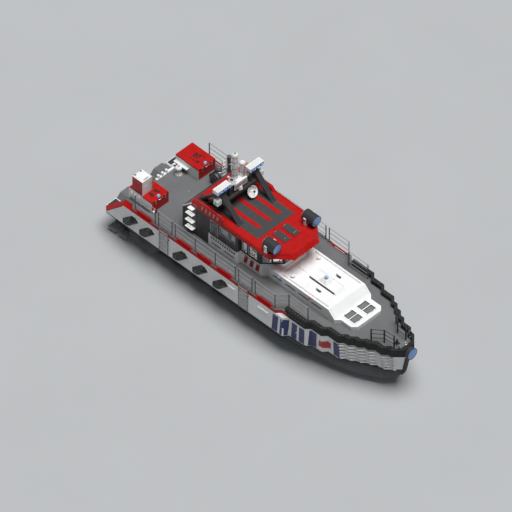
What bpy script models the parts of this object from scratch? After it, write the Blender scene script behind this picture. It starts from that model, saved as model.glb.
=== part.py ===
"""Search and rescue vessel, about 20 m long, with a faceted steel hull.

+X is forward, +Y is to port and +Z is up. The origin is amidships on the
centreline at the waterline. Every size along, across and up is counted in
plating steps of a quarter of a metre, because the whole vessel is laid out
on that module.
"""

import math

import bmesh
import bpy
from mathutils import Matrix, Vector

# Driving dimensions. Lengths named in steps are multiples of STEP.
STEP = 0.25
MIDSHIP = 40.0
GAP = 0.0012
SLACK = 0.035

HALF_BEAM = 11.5
DECK = 7.0
BELT_FOOT = 6.0
PAINT_LINE = 0.4
KEEL = -4.2
TRANSOM = -0.5
AFT_DECK_EDGE = 5.5

ROOF_TOP = 16.0
ROOF_FOOT = 15.0
SILL = 10.6
HOUSE_TOP = 9.8
WALL = 0.4

RAIL_LINE = 11.1
BAR_RADIUS = 0.075
POST_RADIUS = 0.13
RAIL_HEIGHTS = (8.4, 9.75, 11.1)
BOW_RAIL_HEIGHTS = (8.1, 9.3, 10.5)

RED = (0.76, 0.0, 0.0)
WHITE = (0.92, 0.92, 0.92)
DARK = (0.13, 0.13, 0.13)
STEEL = (0.30, 0.30, 0.30)
DECK_GREY = (0.47, 0.47, 0.47)

for old in list(bpy.data.objects):
    bpy.data.objects.remove(old, do_unlink=True)

vessel = bpy.data.collections.new("search_and_rescue_vessel")
helpers = bpy.data.collections.new("cutters")
bpy.context.scene.collection.children.link(vessel)
bpy.context.scene.collection.children.link(helpers)


def at(i, j, k):
    """A point from steps along, across and up."""
    return Vector(((i - MIDSHIP) * STEP, j * STEP, k * STEP))


def linear(colour):
    """Screen colour to the linear values that a shader takes."""
    return tuple(c / 12.92 if c <= 0.04045 else ((c + 0.055) / 1.055) ** 2.4 for c in colour)


def paint(obj, colour, roughness=0.5, metallic=0.0):
    """Give the object its own Principled material."""
    material = bpy.data.materials.new(obj.name + "_paint")
    material.use_nodes = True
    shader = material.node_tree.nodes["Principled BSDF"]
    shader.inputs["Base Color"].default_value = (*linear(colour), 1.0)
    shader.inputs["Roughness"].default_value = roughness
    shader.inputs["Metallic"].default_value = metallic
    obj.data.materials.clear()
    obj.data.materials.append(material)
    return obj


def mesh_object(name, bm):
    """Close off a bmesh as an object with outward faces."""
    bmesh.ops.recalc_face_normals(bm, faces=bm.faces[:])
    mesh = bpy.data.meshes.new(name)
    bm.to_mesh(mesh)
    bm.free()
    obj = bpy.data.objects.new(name, mesh)
    vessel.objects.link(obj)
    return obj


def baked(obj):
    """Turn a curve, or a mesh with modifiers, into a plain welded mesh."""
    bpy.context.view_layer.update()
    graph = bpy.context.evaluated_depsgraph_get()
    mesh = bpy.data.meshes.new_from_object(obj.evaluated_get(graph))
    bm = bmesh.new()
    bm.from_mesh(mesh)
    bm.transform(obj.matrix_world)
    bmesh.ops.remove_doubles(bm, verts=bm.verts[:], dist=0.00005)
    name = obj.name
    bpy.data.objects.remove(obj, do_unlink=True)
    return mesh_object(name, bm)


def block(name, low, high):
    """A box between two corners given in steps."""
    a = at(*low)
    b = at(*high)
    bm = bmesh.new()
    size = b - a
    placed = Matrix.Translation((a + b) / 2) @ Matrix.Diagonal((*size, 1.0))
    bmesh.ops.create_cube(bm, size=1.0, matrix=placed)
    return mesh_object(name, bm)


def plate(name, outline, low, high):
    """A flat outline in plan, in steps, between two heights."""
    curve = bpy.data.curves.new(name, "CURVE")
    curve.dimensions = "2D"
    curve.fill_mode = "BOTH"
    curve.extrude = (high - low) * STEP / 2
    spline = curve.splines.new("POLY")
    spline.points.add(len(outline) - 1)
    for point, (i, j) in zip(spline.points, outline):
        place = at(i, j, 0.0)
        point.co = (place.x, place.y, 0.0, 1.0)
    spline.use_cyclic_u = True
    obj = bpy.data.objects.new(name, curve)
    obj.location.z = (low + high) / 2 * STEP
    vessel.objects.link(obj)
    return baked(obj)


def side_plate(name, outline, right, left):
    """A flat outline in side view, in steps, between two distances across."""
    curve = bpy.data.curves.new(name, "CURVE")
    curve.dimensions = "2D"
    curve.fill_mode = "BOTH"
    curve.extrude = abs(left - right) * STEP / 2
    spline = curve.splines.new("POLY")
    spline.points.add(len(outline) - 1)
    for point, (i, k) in zip(spline.points, outline):
        place = at(i, 0.0, k)
        point.co = (place.x, place.z, 0.0, 1.0)
    spline.use_cyclic_u = True
    obj = bpy.data.objects.new(name, curve)
    obj.rotation_euler.x = math.pi / 2
    obj.location.y = (left + right) / 2 * STEP
    vessel.objects.link(obj)
    return baked(obj)


def loft(name, rings):
    """A closed skin through rings that have the same number of points."""
    bm = bmesh.new()
    made = [[bm.verts.new(at(*point)) for point in ring] for ring in rings]
    count = len(rings[0])
    for lower, upper in zip(made, made[1:]):
        for n in range(count):
            m = (n + 1) % count
            bm.faces.new((lower[n], lower[m], upper[m], upper[n]))
    bm.faces.new(made[0])
    bm.faces.new(made[-1])
    return mesh_object(name, bm)


def tube(name, points, radius, closed=False, resolution=1):
    """A round bar along points in steps, as a curve with filled caps."""
    curve = bpy.data.curves.new(name, "CURVE")
    curve.dimensions = "3D"
    curve.bevel_depth = radius * STEP
    curve.bevel_resolution = resolution
    curve.use_fill_caps = True
    spline = curve.splines.new("POLY")
    spline.points.add(len(points) - 1)
    for point, place in zip(spline.points, points):
        point.co = (*at(*place), 1.0)
    spline.use_cyclic_u = closed
    obj = bpy.data.objects.new(name, curve)
    vessel.objects.link(obj)
    return baked(obj)


def drum(name, centre, axis, radius, length, sides=16, top_radius=None):
    """A cylinder or cone about an axis, sized and placed in steps."""
    bm = bmesh.new()
    turned = Vector((0, 0, 1)).rotation_difference(Vector(axis)).to_matrix().to_4x4()
    bmesh.ops.create_cone(
        bm,
        cap_ends=True,
        segments=sides,
        radius1=radius * STEP,
        radius2=(radius if top_radius is None else top_radius) * STEP,
        depth=length * STEP,
        matrix=Matrix.Translation(at(*centre)) @ turned,
    )
    return mesh_object(name, bm)


def turned(name, centre, profile, steps=20):
    """A turned solid about a vertical axis: radius and height pairs in steps, top to bottom."""
    bm = bmesh.new()
    rims = []
    for radius, height in profile:
        if radius == 0.0:
            rims.append([bm.verts.new(at(centre[0], centre[1], centre[2] + height))])
            continue
        ring = []
        for n in range(steps):
            angle = 2 * math.pi * n / steps
            spot = (
                centre[0] + radius * math.cos(angle),
                centre[1] + radius * math.sin(angle),
                centre[2] + height,
            )
            ring.append(bm.verts.new(at(*spot)))
        rims.append(ring)
    for upper, lower in zip(rims, rims[1:]):
        for n in range(steps):
            m = (n + 1) % steps
            if len(upper) == 1:
                bm.faces.new((upper[0], lower[n], lower[m]))
            elif len(lower) == 1:
                bm.faces.new((upper[n], lower[0], upper[m]))
            else:
                bm.faces.new((upper[n], lower[n], lower[m], upper[m]))
    if len(rims[0]) > 1:
        bm.faces.new(rims[0])
    if len(rims[-1]) > 1:
        bm.faces.new(rims[-1])
    return mesh_object(name, bm)


def gathered(name, pieces):
    """Put several loose solids into one helper object."""
    bm = bmesh.new()
    for piece in pieces:
        bm.from_mesh(piece.data)
        bpy.data.objects.remove(piece, do_unlink=True)
    return mesh_object(name, bm)


def fused(name, pieces):
    """Weld overlapping solids into one body with a Boolean union."""
    body = pieces[0]
    body.name = name
    if len(pieces) > 1:
        rest = gathered(name + "_rest", pieces[1:])
        join = body.modifiers.new("join", "BOOLEAN")
        join.operation = "UNION"
        join.object = rest
        join.use_self = True
        body = baked(body)
        bpy.data.objects.remove(rest, do_unlink=True)
    body.name = name
    return body


def taken_from(name, body, tool):
    """Cut one helper solid out of another and keep the result as a plain mesh."""
    modifier = body.modifiers.new("taken", "BOOLEAN")
    modifier.operation = "DIFFERENCE"
    modifier.object = tool
    body = baked(body)
    bpy.data.objects.remove(tool, do_unlink=True)
    body.name = name
    return body


def cut(obj, cutters, label="cut"):
    """Cut an object with helper solids that stay in the cutters collection."""
    for n, cutter in enumerate(cutters):
        if cutter.name not in helpers.objects:
            vessel.objects.unlink(cutter)
            helpers.objects.link(cutter)
            cutter.hide_render = True
            cutter.display_type = "WIRE"
        modifier = obj.modifiers.new(f"{label}_{n}", "BOOLEAN")
        modifier.operation = "DIFFERENCE"
        modifier.object = cutter
    return obj


def hung_at(obj, pivot):
    """Move the object's origin to its joint's axis, leaving its shape in place."""
    place = at(*pivot)
    obj.data.transform(Matrix.Translation(-place))
    obj.location = place
    return obj


def smooth(obj, angle=35.0):
    """Shade round surfaces smooth and leave the real edges sharp."""
    obj.data.shade_smooth()
    obj.data.set_sharp_from_angle(angle=math.radians(angle))
    return obj


def both(points):
    """Close a half outline given on the starboard side with its mirror image."""
    return [(i, -j) for i, j in points] + [(i, j) for i, j in reversed(points)]


# The plan outline of the bow, in steps along and out from the centreline.
BOW_STEPS = [
    (59.0, 10.5),
    (60.0, 9.5),
    (63.0, 9.5),
    (64.0, 8.5),
    (67.0, 8.5),
    (68.0, 7.5),
    (69.0, 7.5),
    (70.0, 6.5),
    (71.0, 6.5),
    (72.0, 5.5),
    (73.0, 5.5),
    (74.0, 4.5),
    (76.0, 4.5),
    (77.0, 3.5),
    (78.0, 3.5),
    (80.0, 1.5),
]

# The recesses in the red belt: where each starts along the side.
SCALLOPS = (9.2, 21.2, 27.2, 33.2, 45.2)


def scallop_cutters(label):
    """Sloped recesses in the belt, one step deep, with 45 degree ends."""
    made = []
    lift = 0.04
    for side in (-1, 1):
        for n, start in enumerate(SCALLOPS):
            low = [
                (start, side * 12.5, 6 + lift),
                (start + 1, side * 11.5, 6 + lift),
                (start + 4, side * 11.5, 6 + lift),
                (start + 5, side * 12.5, 6 + lift),
            ]
            high = [
                (start - 1, side * 12.5, 7 + lift),
                (start + 1, side * 10.5, 7 + lift),
                (start + 4, side * 10.5, 7 + lift),
                (start + 6, side * 12.5, 7 + lift),
            ]
            made.append(loft(f"{label}_{side}_{n}", [low, high]))
    return gathered(label, made)


# Hull
# The topsides are a slab in plan that is lofted from the paint line up to the belt.


def shrunk(points, inset, start=58.0, end=80.0):
    """Draw the bow outline in towards the centreline, by more the further forward."""
    made = []
    for i, j in points:
        share = max(0.0, min(1.0, (i - start) / (end - start)))
        made.append((i - inset * share * 1.28, max(0.6, j - inset * (0.35 + 0.65 * share))))
    return made


side_run = [(AFT_DECK_EDGE, HALF_BEAM), (53.3, HALF_BEAM), (54.3, 10.5)]
upper_half = side_run + shrunk(BOW_STEPS, 0.3)
lower_half = [(AFT_DECK_EDGE, HALF_BEAM), (53.3, HALF_BEAM), (54.3, 10.4)] + shrunk(BOW_STEPS, 1.25)
main_sides = loft(
    "hull_topsides",
    [
        [(i, j, PAINT_LINE) for i, j in both(lower_half)],
        [(i, j, BELT_FOOT - GAP) for i, j in both(upper_half)],
    ],
)

stern_half = [(TRANSOM, 10.5), (0.5, HALF_BEAM), (AFT_DECK_EDGE + 0.5, HALF_BEAM)]
stern_platform = plate("stern_platform", both(stern_half), PAINT_LINE, 1.0)

SKIN = 0.3
stern_pieces = [main_sides, stern_platform]

# The wing at each quarter: white below, under the red sloped cap.
for side in (-1, 1):
    foot = [
        (0.51, side * 11.49, 0.5),
        (5.5 + SKIN, side * 11.49, 0.5),
        (5.5 + SKIN, side * 10.5, 0.5),
        (-0.48, side * 10.5, 0.5),
    ]
    crest = [
        (0.51, side * 11.49, 1.02 - SKIN),
        (5.5 + SKIN, side * 11.49, 6.01),
        (5.5 + SKIN, side * 10.5, 7.0),
        (-0.48, side * 10.5, 1.02 - SKIN),
    ]
    wing = loft(f"stern_wing_{side}", [foot, crest])
    above = block(f"wing_trim_{side}", (-2, -13, BELT_FOOT - GAP), (8, 13, 9))
    stern_pieces.append(taken_from(f"stern_wing_{side}", wing, above))

# Two low housings with sloped sides run along the stern platform, with a boarding
# tread and a ledge outboard of each.
for side in (-1, 1):
    rings = []
    for near, far, height in ((2.7, 7.3, 0.9), (3.8, 6.2, 2.0)):
        corners = ((TRANSOM, near), (TRANSOM, far), (6.0, far), (6.0, near))
        rings.append([(i, side * j, height) for i, j in corners])
    stern_pieces.append(loft(f"stern_housing_{side}", rings))
    for n, (start, end, near, top) in enumerate(((TRANSOM, 1.0, 7.5, 1.2), (0.9, 4.4, 9.5, 1.7))):
        low = (start, min(side * near, side * 10.4), 0.9)
        high = (end, max(side * near, side * 10.4), top)
        stern_pieces.append(block(f"stern_ledge_{side}_{n}", low, high))

# Fixed rubber fenders are slanted six-sided pads on the side, one step deep.
FENDERS = (7.9, 12.8, 22.8, 28.75, 34.8)
FENDER_RIM = ((-2.38, 2.3), (0.35, 4.9), (1.5, 4.9), (2.4, 4.0), (-0.4, 1.2), (-1.5, 1.3))
FENDER_FACE = ((-1.38, 2.3), (0.55, 4.05), (1.1, 4.0), (1.3, 3.9), (-0.1, 2.3), (-0.5, 2.2))

for side in (-1, 1):
    for n, centre in enumerate(FENDERS):
        rings = [
            [(centre + di, side * (HALF_BEAM + out), k) for di, k in outline]
            for out, outline in ((-0.3, FENDER_RIM), (0.0, FENDER_RIM), (1.0, FENDER_FACE))
        ]
        stern_pieces.append(loft(f"fender_{side}_{n}", rings))
    for n, (start, end) in enumerate(((37.3, 39.3), (46.2, 49.2))):
        low = (start, min(side * 11.3, side * 11.75), 4.3)
        high = (end, max(side * 11.3, side * 11.75), 4.65)
        stern_pieces.append(block(f"side_grip_{side}_{n}", low, high))

hull_topsides = paint(fused("hull_topsides", stern_pieces), WHITE, 0.45)

# The bottom: four levels of a boxy round-bilged shape, mirrored by listing both sides.
STATIONS = [
    # along, then half width at the paint line, at -1.2, at the bilge and at the keel,
    # and the two lower depths
    (-0.4, 10.3, 9.6, 8.6, 0.8, -1.3, -1.6),
    (5.0, 11.3, 10.0, 8.6, 0.8, -1.4, -1.8),
    (12.0, 11.3, 10.2, 8.6, 0.8, -2.6, -3.4),
    (18.0, 11.3, 10.2, 8.6, 0.8, -3.0, KEEL),
    (54.0, 11.2, 10.0, 8.6, 0.8, -3.0, KEEL),
    (60.0, 9.0, 8.9, 8.0, 0.8, -3.0, KEEL),
    (64.0, 7.9, 7.9, 7.4, 0.8, -3.0, KEEL),
    (68.0, 6.6, 6.6, 6.2, 0.7, -3.0, KEEL),
    (71.0, 5.3, 5.3, 4.9, 0.6, -3.0, -4.0),
    (75.0, 3.2, 3.1, 2.9, 0.5, -2.8, -3.5),
    (76.6, 2.2, 1.9, 1.4, 0.4, -2.4, -2.9),
]
rings = []
for i, paint_half, chine_half, bilge_half, keel_half, bilge, keel in STATIONS:
    chine = -0.9 if i < 12 else -1.2
    half = [
        (keel_half, keel),
        (bilge_half, bilge),
        (chine_half, chine),
        (paint_half, PAINT_LINE - GAP),
    ]
    rings.append([(i, -j, k) for j, k in half] + [(i, j, k) for j, k in reversed(half)])
rings.append(
    [
        (77.3, -0.4, -2.2),
        (77.5, -0.45, -1.8),
        (77.9, -0.5, -1.0),
        (78.4, -0.6, PAINT_LINE - GAP),
        (78.4, 0.6, PAINT_LINE - GAP),
        (77.9, 0.5, -1.0),
        (77.5, 0.45, -1.8),
        (77.3, 0.4, -2.2),
    ]
)
bottom_pieces = [loft("hull_bottom", rings)]

PROP_LINE = 4.6
PROP_DEPTH = -3.25
for side in (-1, 1):
    # A deep side skeg with a raked front.
    skeg = [(6.2, 0.0), (15.6, 0.0), (15.4, -1.4), (12.8, -4.6), (7.6, -4.6), (6.2, -3.6)]
    bottom_pieces.append(side_plate(f"skeg_{side}", skeg, side * 8.0, side * 10.2))
    # The shaft's bossing and its bracket.
    shaft_middle = (9.9 + GAP, side * PROP_LINE, PROP_DEPTH)
    bottom_pieces.append(drum(f"shaft_{side}", shaft_middle, (1, 0, 0), 0.42, 9.6, 12))
    bracket = [(5.4, 0.0), (6.6, 0.0), (6.4, PROP_DEPTH), (5.6, PROP_DEPTH)]
    bottom_pieces.append(
        side_plate(f"shaft_bracket_{side}", bracket, side * (PROP_LINE - 0.15), side * (PROP_LINE + 0.15))
    )
    # The rudder's stock bearing.
    bearing_middle = (1.6, side * PROP_LINE, -1.3)
    bottom_pieces.append(drum(f"rudder_bearing_{side}", bearing_middle, (0, 0, 1), 0.5, 1.2, 12))
    # Two level trim fins on struts under the quarter.
    for n, centre in enumerate((1.7, 4.7)):
        fin = plate(
            f"trim_fin_{side}_{n}",
            [
                (centre - 1.15, side * 8.4),
                (centre + 1.15, side * 8.4),
                (centre + 1.15, side * 11.0),
                (centre - 1.15, side * 11.0),
            ],
            -4.28,
            -4.12,
        )
        strut = block(
            f"fin_strut_{side}_{n}",
            (centre - 0.6, side * 9.0 - 0.15, -4.2),
            (centre + 0.6, side * 9.0 + 0.15, -0.6),
        )
        bottom_pieces += [fin, strut]

# The stem bar runs up the front of the white topsides as far as the bow lamp.
stem_line = [
    (77.4, -1.2), (77.9, 0.3), (78.4013, PAINT_LINE), (79.4, 5.0),
    (79.8, 5.0), (78.85, 0.4), (78.3, -1.2),
]
bottom_pieces.append(side_plate("stem_bar", stem_line, -0.5, 0.5))

hull_bottom = paint(fused("hull_bottom", bottom_pieces), DARK, 0.7)

# Belt and deck: the same outline, cut by the same recesses.
INNER_BOW = [(i, j - 1.0) for i, j in BOW_STEPS[:-1]] + [(79.0, 1.5)]
BAND_TOP = 8.0


def band_start(height):
    """Where the slanted aft end of the bow band stands at a height."""
    return 54.0 - (height - BELT_FOOT) / (BAND_TOP - BELT_FOOT)


def deck_half(height):
    """Half the deck's outline at a height, just clear of the bow band."""
    side_run = [
        (AFT_DECK_EDGE, 10.5),
        (7.5, 10.5),
        (8.5, HALF_BEAM),
        (51.2, HALF_BEAM),
        (52.2, 10.48),
        (band_start(height) - 2 * GAP, 10.48),
        (band_start(height) - 2 * GAP, 9.5 - GAP),
    ]
    return side_run + [(i - GAP, j - GAP) for i, j in INNER_BOW]


belt = loft(
    "sheer_belt",
    [[(i, j, k) for i, j in both(deck_half(k))] for k in (BELT_FOOT, DECK - 0.12)],
)
belt_pieces = [belt]
for side in (-1, 1):
    # The sloped cap on the quarter and the sloped run up to the first gate.
    foot = [
        (0.5, side * 11.5, 1.0 - SKIN + GAP),
        (5.5, side * 11.5, 6.0 - SKIN + GAP),
        (5.5, side * 10.5, 7.0 - SKIN + GAP),
        (-0.5, side * 10.5, 1.0 - SKIN + GAP),
    ]
    crest = [(i, j, k + SKIN - GAP) for i, j, k in foot]
    cap = loft(f"quarter_cap_{side}", [foot, crest])
    below = block(f"cap_trim_{side}", (-2.0, -13.0, -1.0), (6.0, 13.0, 1.0 + GAP))
    belt_pieces.append(taken_from(f"quarter_cap_{side}", cap, below))
    run = []
    for i, crest_half in ((5.5, 10.5), (7.4, 10.5), (8.6, 11.5)):
        run.append([
            (i, side * 10.4, 6.0),
            (i, side * 11.5, 6.0),
            (i, side * crest_half, 7.0 - 0.12),
            (i, side * 10.4, 6.88),
        ])
    belt_pieces.append(loft(f"belt_run_{side}", run))
sheer_belt = fused("sheer_belt", belt_pieces)
recesses = scallop_cutters("belt_recesses")
cut(sheer_belt, [recesses], "recess")
paint(sheer_belt, RED, 0.45)

weather_deck = plate("weather_deck", both(deck_half(DECK)), DECK - 0.12 + GAP, DECK)
cut(weather_deck, [recesses], "recess")
paint(weather_deck, DECK_GREY, 0.8)

# The dark rubbing band round the bow, two steps high and one step thick, with a
# notch for the bow lamp that the white stem shares.
BOW_LAMP_RADIUS = 1.42
BOW_LAMP_AXIS = 6.5


def band_ring(height):
    """The band's whole outline at a height: round the outside and back round the inside."""
    outer = [(band_start(height), 10.5)] + BOW_STEPS
    inner = [(band_start(height), 9.5)] + INNER_BOW
    return (
        [(i, -j, height) for i, j in outer]
        + [(i, j, height) for i, j in reversed(outer)]
        + [(i, j, height) for i, j in inner]
        + [(i, -j, height) for i, j in reversed(inner)]
    )


bow_band = loft("bow_band", [band_ring(BELT_FOOT), band_ring(BAND_TOP)])
lamp_seat = drum(
    "lamp_seat",
    (80.3, 0.0, BOW_LAMP_AXIS),
    (1, 0, 0),
    BOW_LAMP_RADIUS + GAP,
    2.0 + 2 * GAP,
    20,
)
cut(bow_band, [lamp_seat], "seat")
cut(hull_topsides, [lamp_seat], "seat")
paint(bow_band, DARK, 0.75)

# Wheelhouse
# The dark upper walls run from a full-height aft part into a band of windows.


band_half = [(19.5, 7.5), (36.0, 7.5), (36.0, 6.5), (42.0, 6.5), (45.5, 3.0)]
band_in = [(19.5 + WALL, 7.1), (35.6, 7.1), (35.6, 6.1), (41.85, 6.1), (45.1, 2.85)]


def sloped_corner(name, drop):
    """A helper solid above the 45 degree slope at the cabin's aft top corner."""
    foot = 12.0
    start = 19.5 + (foot - 13.2 + drop)
    outline = [(start, foot), (start - 6.0, foot), (start - 6.0, 19.0), (start + 7.0, 19.0)]
    return side_plate(name, outline, -9.0, 9.0)


upper = plate("cabin_upper", both(band_half), SILL + GAP, ROOF_FOOT - GAP)
aft_part = block("aft_part", (19.5, -7.5, DECK + GAP), (27.2 - GAP, 7.5, 12.0))
cabin_upper = fused("cabin_upper", [upper, aft_part])
cabin_upper = taken_from("cabin_upper", cabin_upper, sloped_corner("corner_cut", 0.0))
inner_band = plate("inner_band", both(band_in), SILL - 1.0, ROOF_FOOT + 1.0)
inner_aft = block("inner_aft", (19.5 + WALL, -7.1, DECK - 1.0), (28.0, 7.1, 12.3))
inner = fused("cabin_room", [inner_band, inner_aft])
inner = taken_from("cabin_room", inner, sloped_corner("inner_corner", WALL * 1.414))
cabin_upper = taken_from("cabin_upper", cabin_upper, inner)

# Window and door openings.
WINDOW_FOOT = 11.1
AFT_WINDOW_FOOT = 12.4
WINDOW_HEAD = 14.65
openings = []
for side in (-1, 1):
    for n, (start, end, out, foot) in enumerate(
        (
            (27.9, 30.1, 7.5, WINDOW_FOOT),
            (30.7, 33.2, 7.5, AFT_WINDOW_FOOT),
            (33.7, 35.25, 7.5, AFT_WINDOW_FOOT),
            (36.4, 37.85, 6.5, WINDOW_FOOT),
            (38.35, 40.85, 6.5, WINDOW_FOOT),
        )
    ):
        low = (start, min(side * (out + 0.6), side * (out - 1.0)), foot)
        high = (end, max(side * (out + 0.6), side * (out - 1.0)), WINDOW_HEAD)
        openings.append(block(f"side_window_{side}_{n}", low, high))
    # The windows in the two front corners look out at 45 degrees.
    for n, (start, end) in enumerate(((0.35, 2.2), (2.6, 4.5))):
        unit = math.sqrt(0.5)
        corner = Vector((42.0, side * 6.5))
        run = Vector((unit, -side * unit))
        out = Vector((unit, side * unit))
        footprint = [
            corner + run * start + out * 0.6,
            corner + run * end + out * 0.6,
            corner + run * end - out * 1.0,
            corner + run * start - out * 1.0,
        ]
        openings.append(
            plate(f"corner_window_{side}_{n}", [tuple(p) for p in footprint], WINDOW_FOOT, WINDOW_HEAD)
        )
    openings.append(
        block(
            f"front_window_{side}",
            (44.5, min(side * 0.25, side * 2.6), WINDOW_FOOT),
            (46.2, max(side * 0.25, side * 2.6), WINDOW_HEAD),
        )
    )
DOOR_HALF = 1.5
openings.append(block("door_opening", (18.9, -DOOR_HALF, DECK - 0.5), (20.5, DOOR_HALF, 12.5)))
cut(cabin_upper, [fused("cabin_openings", openings)], "opening")
paint(cabin_upper, DARK, 0.5)

# The white lower walls, with the step in their side, meet a bulkhead ahead of the helm.
base_outline = (
    [(27.2 + GAP, -7.5), (36.0, -7.5), (36.0, -6.5), (42.0, -6.5), (43.0, -5.5)]
    + [(43.0, 5.5), (42.0, 6.5), (36.0, 6.5), (36.0, 7.5), (27.2 + GAP, 7.5)]
    + [(27.2 + GAP, 7.1), (35.6, 7.1), (35.6, 6.1), (41.85, 6.1), (42.6, 5.35)]
    + [(42.6, -5.35), (41.85, -6.1), (35.6, -6.1), (35.6, -7.1), (27.2 + GAP, -7.1)]
)
cabin_base = plate("cabin_base", base_outline, DECK + GAP, SILL)
companionway = block("companionway", (42.0, -1.3, DECK - 1), (43.6, 1.3, 9.3))
cut(cabin_base, [companionway], "way")
paint(cabin_base, WHITE, 0.45)

# The red roof with sloped front edges and raised side coamings.
roof_top = both([(22.0, 7.5), (44.5, 7.5), (48.5, 3.5)])
roof_foot = both([(21.2, 7.5), (44.8, 7.55), (49.3, 3.8)])
roof_body = loft(
    "wheelhouse_roof",
    [[(i, j, ROOF_FOOT) for i, j in roof_foot], [(i, j, ROOF_TOP) for i, j in roof_top]],
)
coamings = [
    side_plate(
        f"roof_coaming_{side}",
        [(22.0, 15.6), (22.9, 17.0), (31.5, 17.0), (32.5, 15.9), (32.5, 15.6)],
        side * 6.8,
        side * 7.5,
    )
    for side in (-1, 1)
]
wheelhouse_roof = paint(fused("wheelhouse_roof", [roof_body] + coamings), RED, 0.45)

# The white house on the foredeck: a hollow shell with a sloped front and a low skylight frame.
HOUSE_HALF = 5.5
house_profile = [
    (43.0 + GAP, DECK + GAP),
    (43.0 + GAP, 10.58),
    (44.3, 10.58),
    (45.9, HOUSE_TOP),
    (61.2, HOUSE_TOP),
    (63.0, 8.0),
    (68.0, 8.0),
    (68.0, DECK + GAP),
]
house = side_plate("foredeck_house", house_profile, -HOUSE_HALF, HOUSE_HALF)
nose_trim = [
    plate(
        f"nose_trim_{side}",
        [
            (63.0, side * 5.5),
            (64.0, side * 4.5),
            (67.0, side * 4.5),
            (68.0, side * 3.5),
            (70.0, side * 3.5),
            (70.0, side * 8.0),
            (63.0, side * 8.0),
        ],
        6.0,
        8.6,
    )
    for side in (-1, 1)
]
# The raised aft end slopes in at its sides.
for side in (-1, 1):
    rings = []
    for height, inner_half in ((9.8, 5.5), (10.7, 4.6)):
        rings.append([
            (42.0, side * inner_half, height),
            (47.0, side * inner_half, height),
            (47.0, side * 7.0, height),
            (42.0, side * 7.0, height),
        ])
    nose_trim.append(loft(f"shoulder_trim_{side}", rings))
house = taken_from("foredeck_house", house, gathered("house_trims", nose_trim))
raised = side_plate("raised_panel", [(51.4, 9.5), (51.4, 10.35), (59.0, 10.35), (60.1, 9.5)], -1.45, 1.45)
pedestal = loft(
    "lamp_pedestal",
    [
        [(53.6, -1.3, 10.2), (56.6, -1.3, 10.2), (56.6, 1.3, 10.2), (53.6, 1.3, 10.2)],
        [(54.6, -0.5, 11.1), (55.6, -0.5, 11.1), (55.6, 0.5, 11.1), (54.6, 0.5, 11.1)],
    ],
)
foredeck_house = fused("foredeck_house", [house, raised, pedestal])
inside = side_plate(
    "house_hollow",
    [
        (42.0, 6.0), (42.0, 10.1), (44.2, 10.1), (45.7, 9.4),
        (60.9, 9.4), (62.8, 7.6), (67.6, 7.6), (67.6, 6.0),
    ],
    -5.1,
    5.1,
)
inside_trim = [
    plate(
        f"inside_trim_{side}",
        [
            (62.9, side * 5.1),
            (63.9, side * 4.1),
            (66.8, side * 4.1),
            (67.6, side * 3.3),
            (70.0, side * 3.3),
            (70.0, side * 8.0),
            (62.9, side * 8.0),
        ],
        5.0,
        11.0,
    )
    for side in (-1, 1)
]
inside = taken_from("house_hollow", inside, gathered("inside_trims", inside_trim))
SKYLIGHT_FORE = 67.0
SKYLIGHT_AFT = 63.35
hatch_holes = [
    block(
        f"skylight_hole_{side}",
        (SKYLIGHT_AFT, min(side * 0.35, side * 3.6), 7.0),
        (SKYLIGHT_FORE, max(side * 0.35, side * 3.6), 8.5),
    )
    for side in (-1, 1)
]
cut(foredeck_house, [inside] + hatch_holes, "hollow")
paint(foredeck_house, WHITE, 0.45)

# Skylight lids, hinged at their aft edge, each with two panes' openings.
for side, label in ((1, "port"), (-1, "starboard")):
    near = 0.35 + SLACK
    far = 3.6 - SLACK
    lid = block(
        f"skylight_{label}",
        (SKYLIGHT_AFT + GAP, min(side * near, side * far), 7.72),
        (SKYLIGHT_FORE - SLACK, max(side * near, side * far), 8.06),
    )
    panes = [
        block(
            f"pane_{label}_{n}",
            (start, min(side * 0.75, side * 3.2), 7.3),
            (end, max(side * 0.75, side * 3.2), 8.5),
        )
        for n, (start, end) in enumerate(((63.65, 64.95), (65.3, 66.7)))
    ]
    lid = taken_from(f"skylight_{label}", lid, gathered(f"panes_{label}", panes))
    hung_at(lid, (SKYLIGHT_AFT + GAP, side * 1.975, 8.06))
    paint(lid, WHITE, 0.45)

# Helm console and seats
console = side_plate(
    "helm_console",
    [(40.6, DECK + GAP), (40.6, 9.6), (41.3, 10.4), (42.5, 10.4), (42.5, DECK + GAP)],
    -4.6,
    4.6,
)
way = block("console_way", (40.0, -1.3, 6.0), (43.0, 1.3, 9.3))
cut(console, [way], "way")
paint(console, (0.62, 0.62, 0.62), 0.5)

seat_pieces = [block("helm_seats", (36.4, -4.2, DECK + GAP), (38.6, 4.2, 7.3))]
for j in (-3.0, 3.0):
    seat_pieces.append(drum(f"seat_post_{j}", (37.5, j, 8.2), (0, 0, 1), 0.3, 2.2, 12))
    seat_pieces.append(block(f"seat_cushion_{j}", (36.5, j - 0.95, 8.9), (38.5, j + 0.95, 9.5)))
    seat_pieces.append(
        side_plate(
            f"seat_back_{j}", [(36.5, 9.3), (37.0, 9.3), (36.7, 12.2), (36.2, 12.2)], j - 0.85, j + 0.85
        )
    )
helm_seats = paint(fused("helm_seats", seat_pieces), (0.45, 0.39, 0.34), 0.7)

# The cabin door in the aft wall, hinged on its starboard edge and opening aft.
door = block("cabin_door", (19.5, -DOOR_HALF + GAP, DECK + 0.1), (19.8, DOOR_HALF - SLACK, 12.5 - SLACK))
handle_line = [(19.6, 1.1, 9.4), (19.25, 1.1, 9.4), (19.25, 1.1, 10.2), (19.6, 1.1, 10.2)]
handle = tube("door_handle", handle_line, 0.07)
door = fused("cabin_door", [door, handle])
hung_at(door, (19.5, -DOOR_HALF + GAP, DECK + 0.1))
paint(door, WHITE, 0.45)

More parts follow.
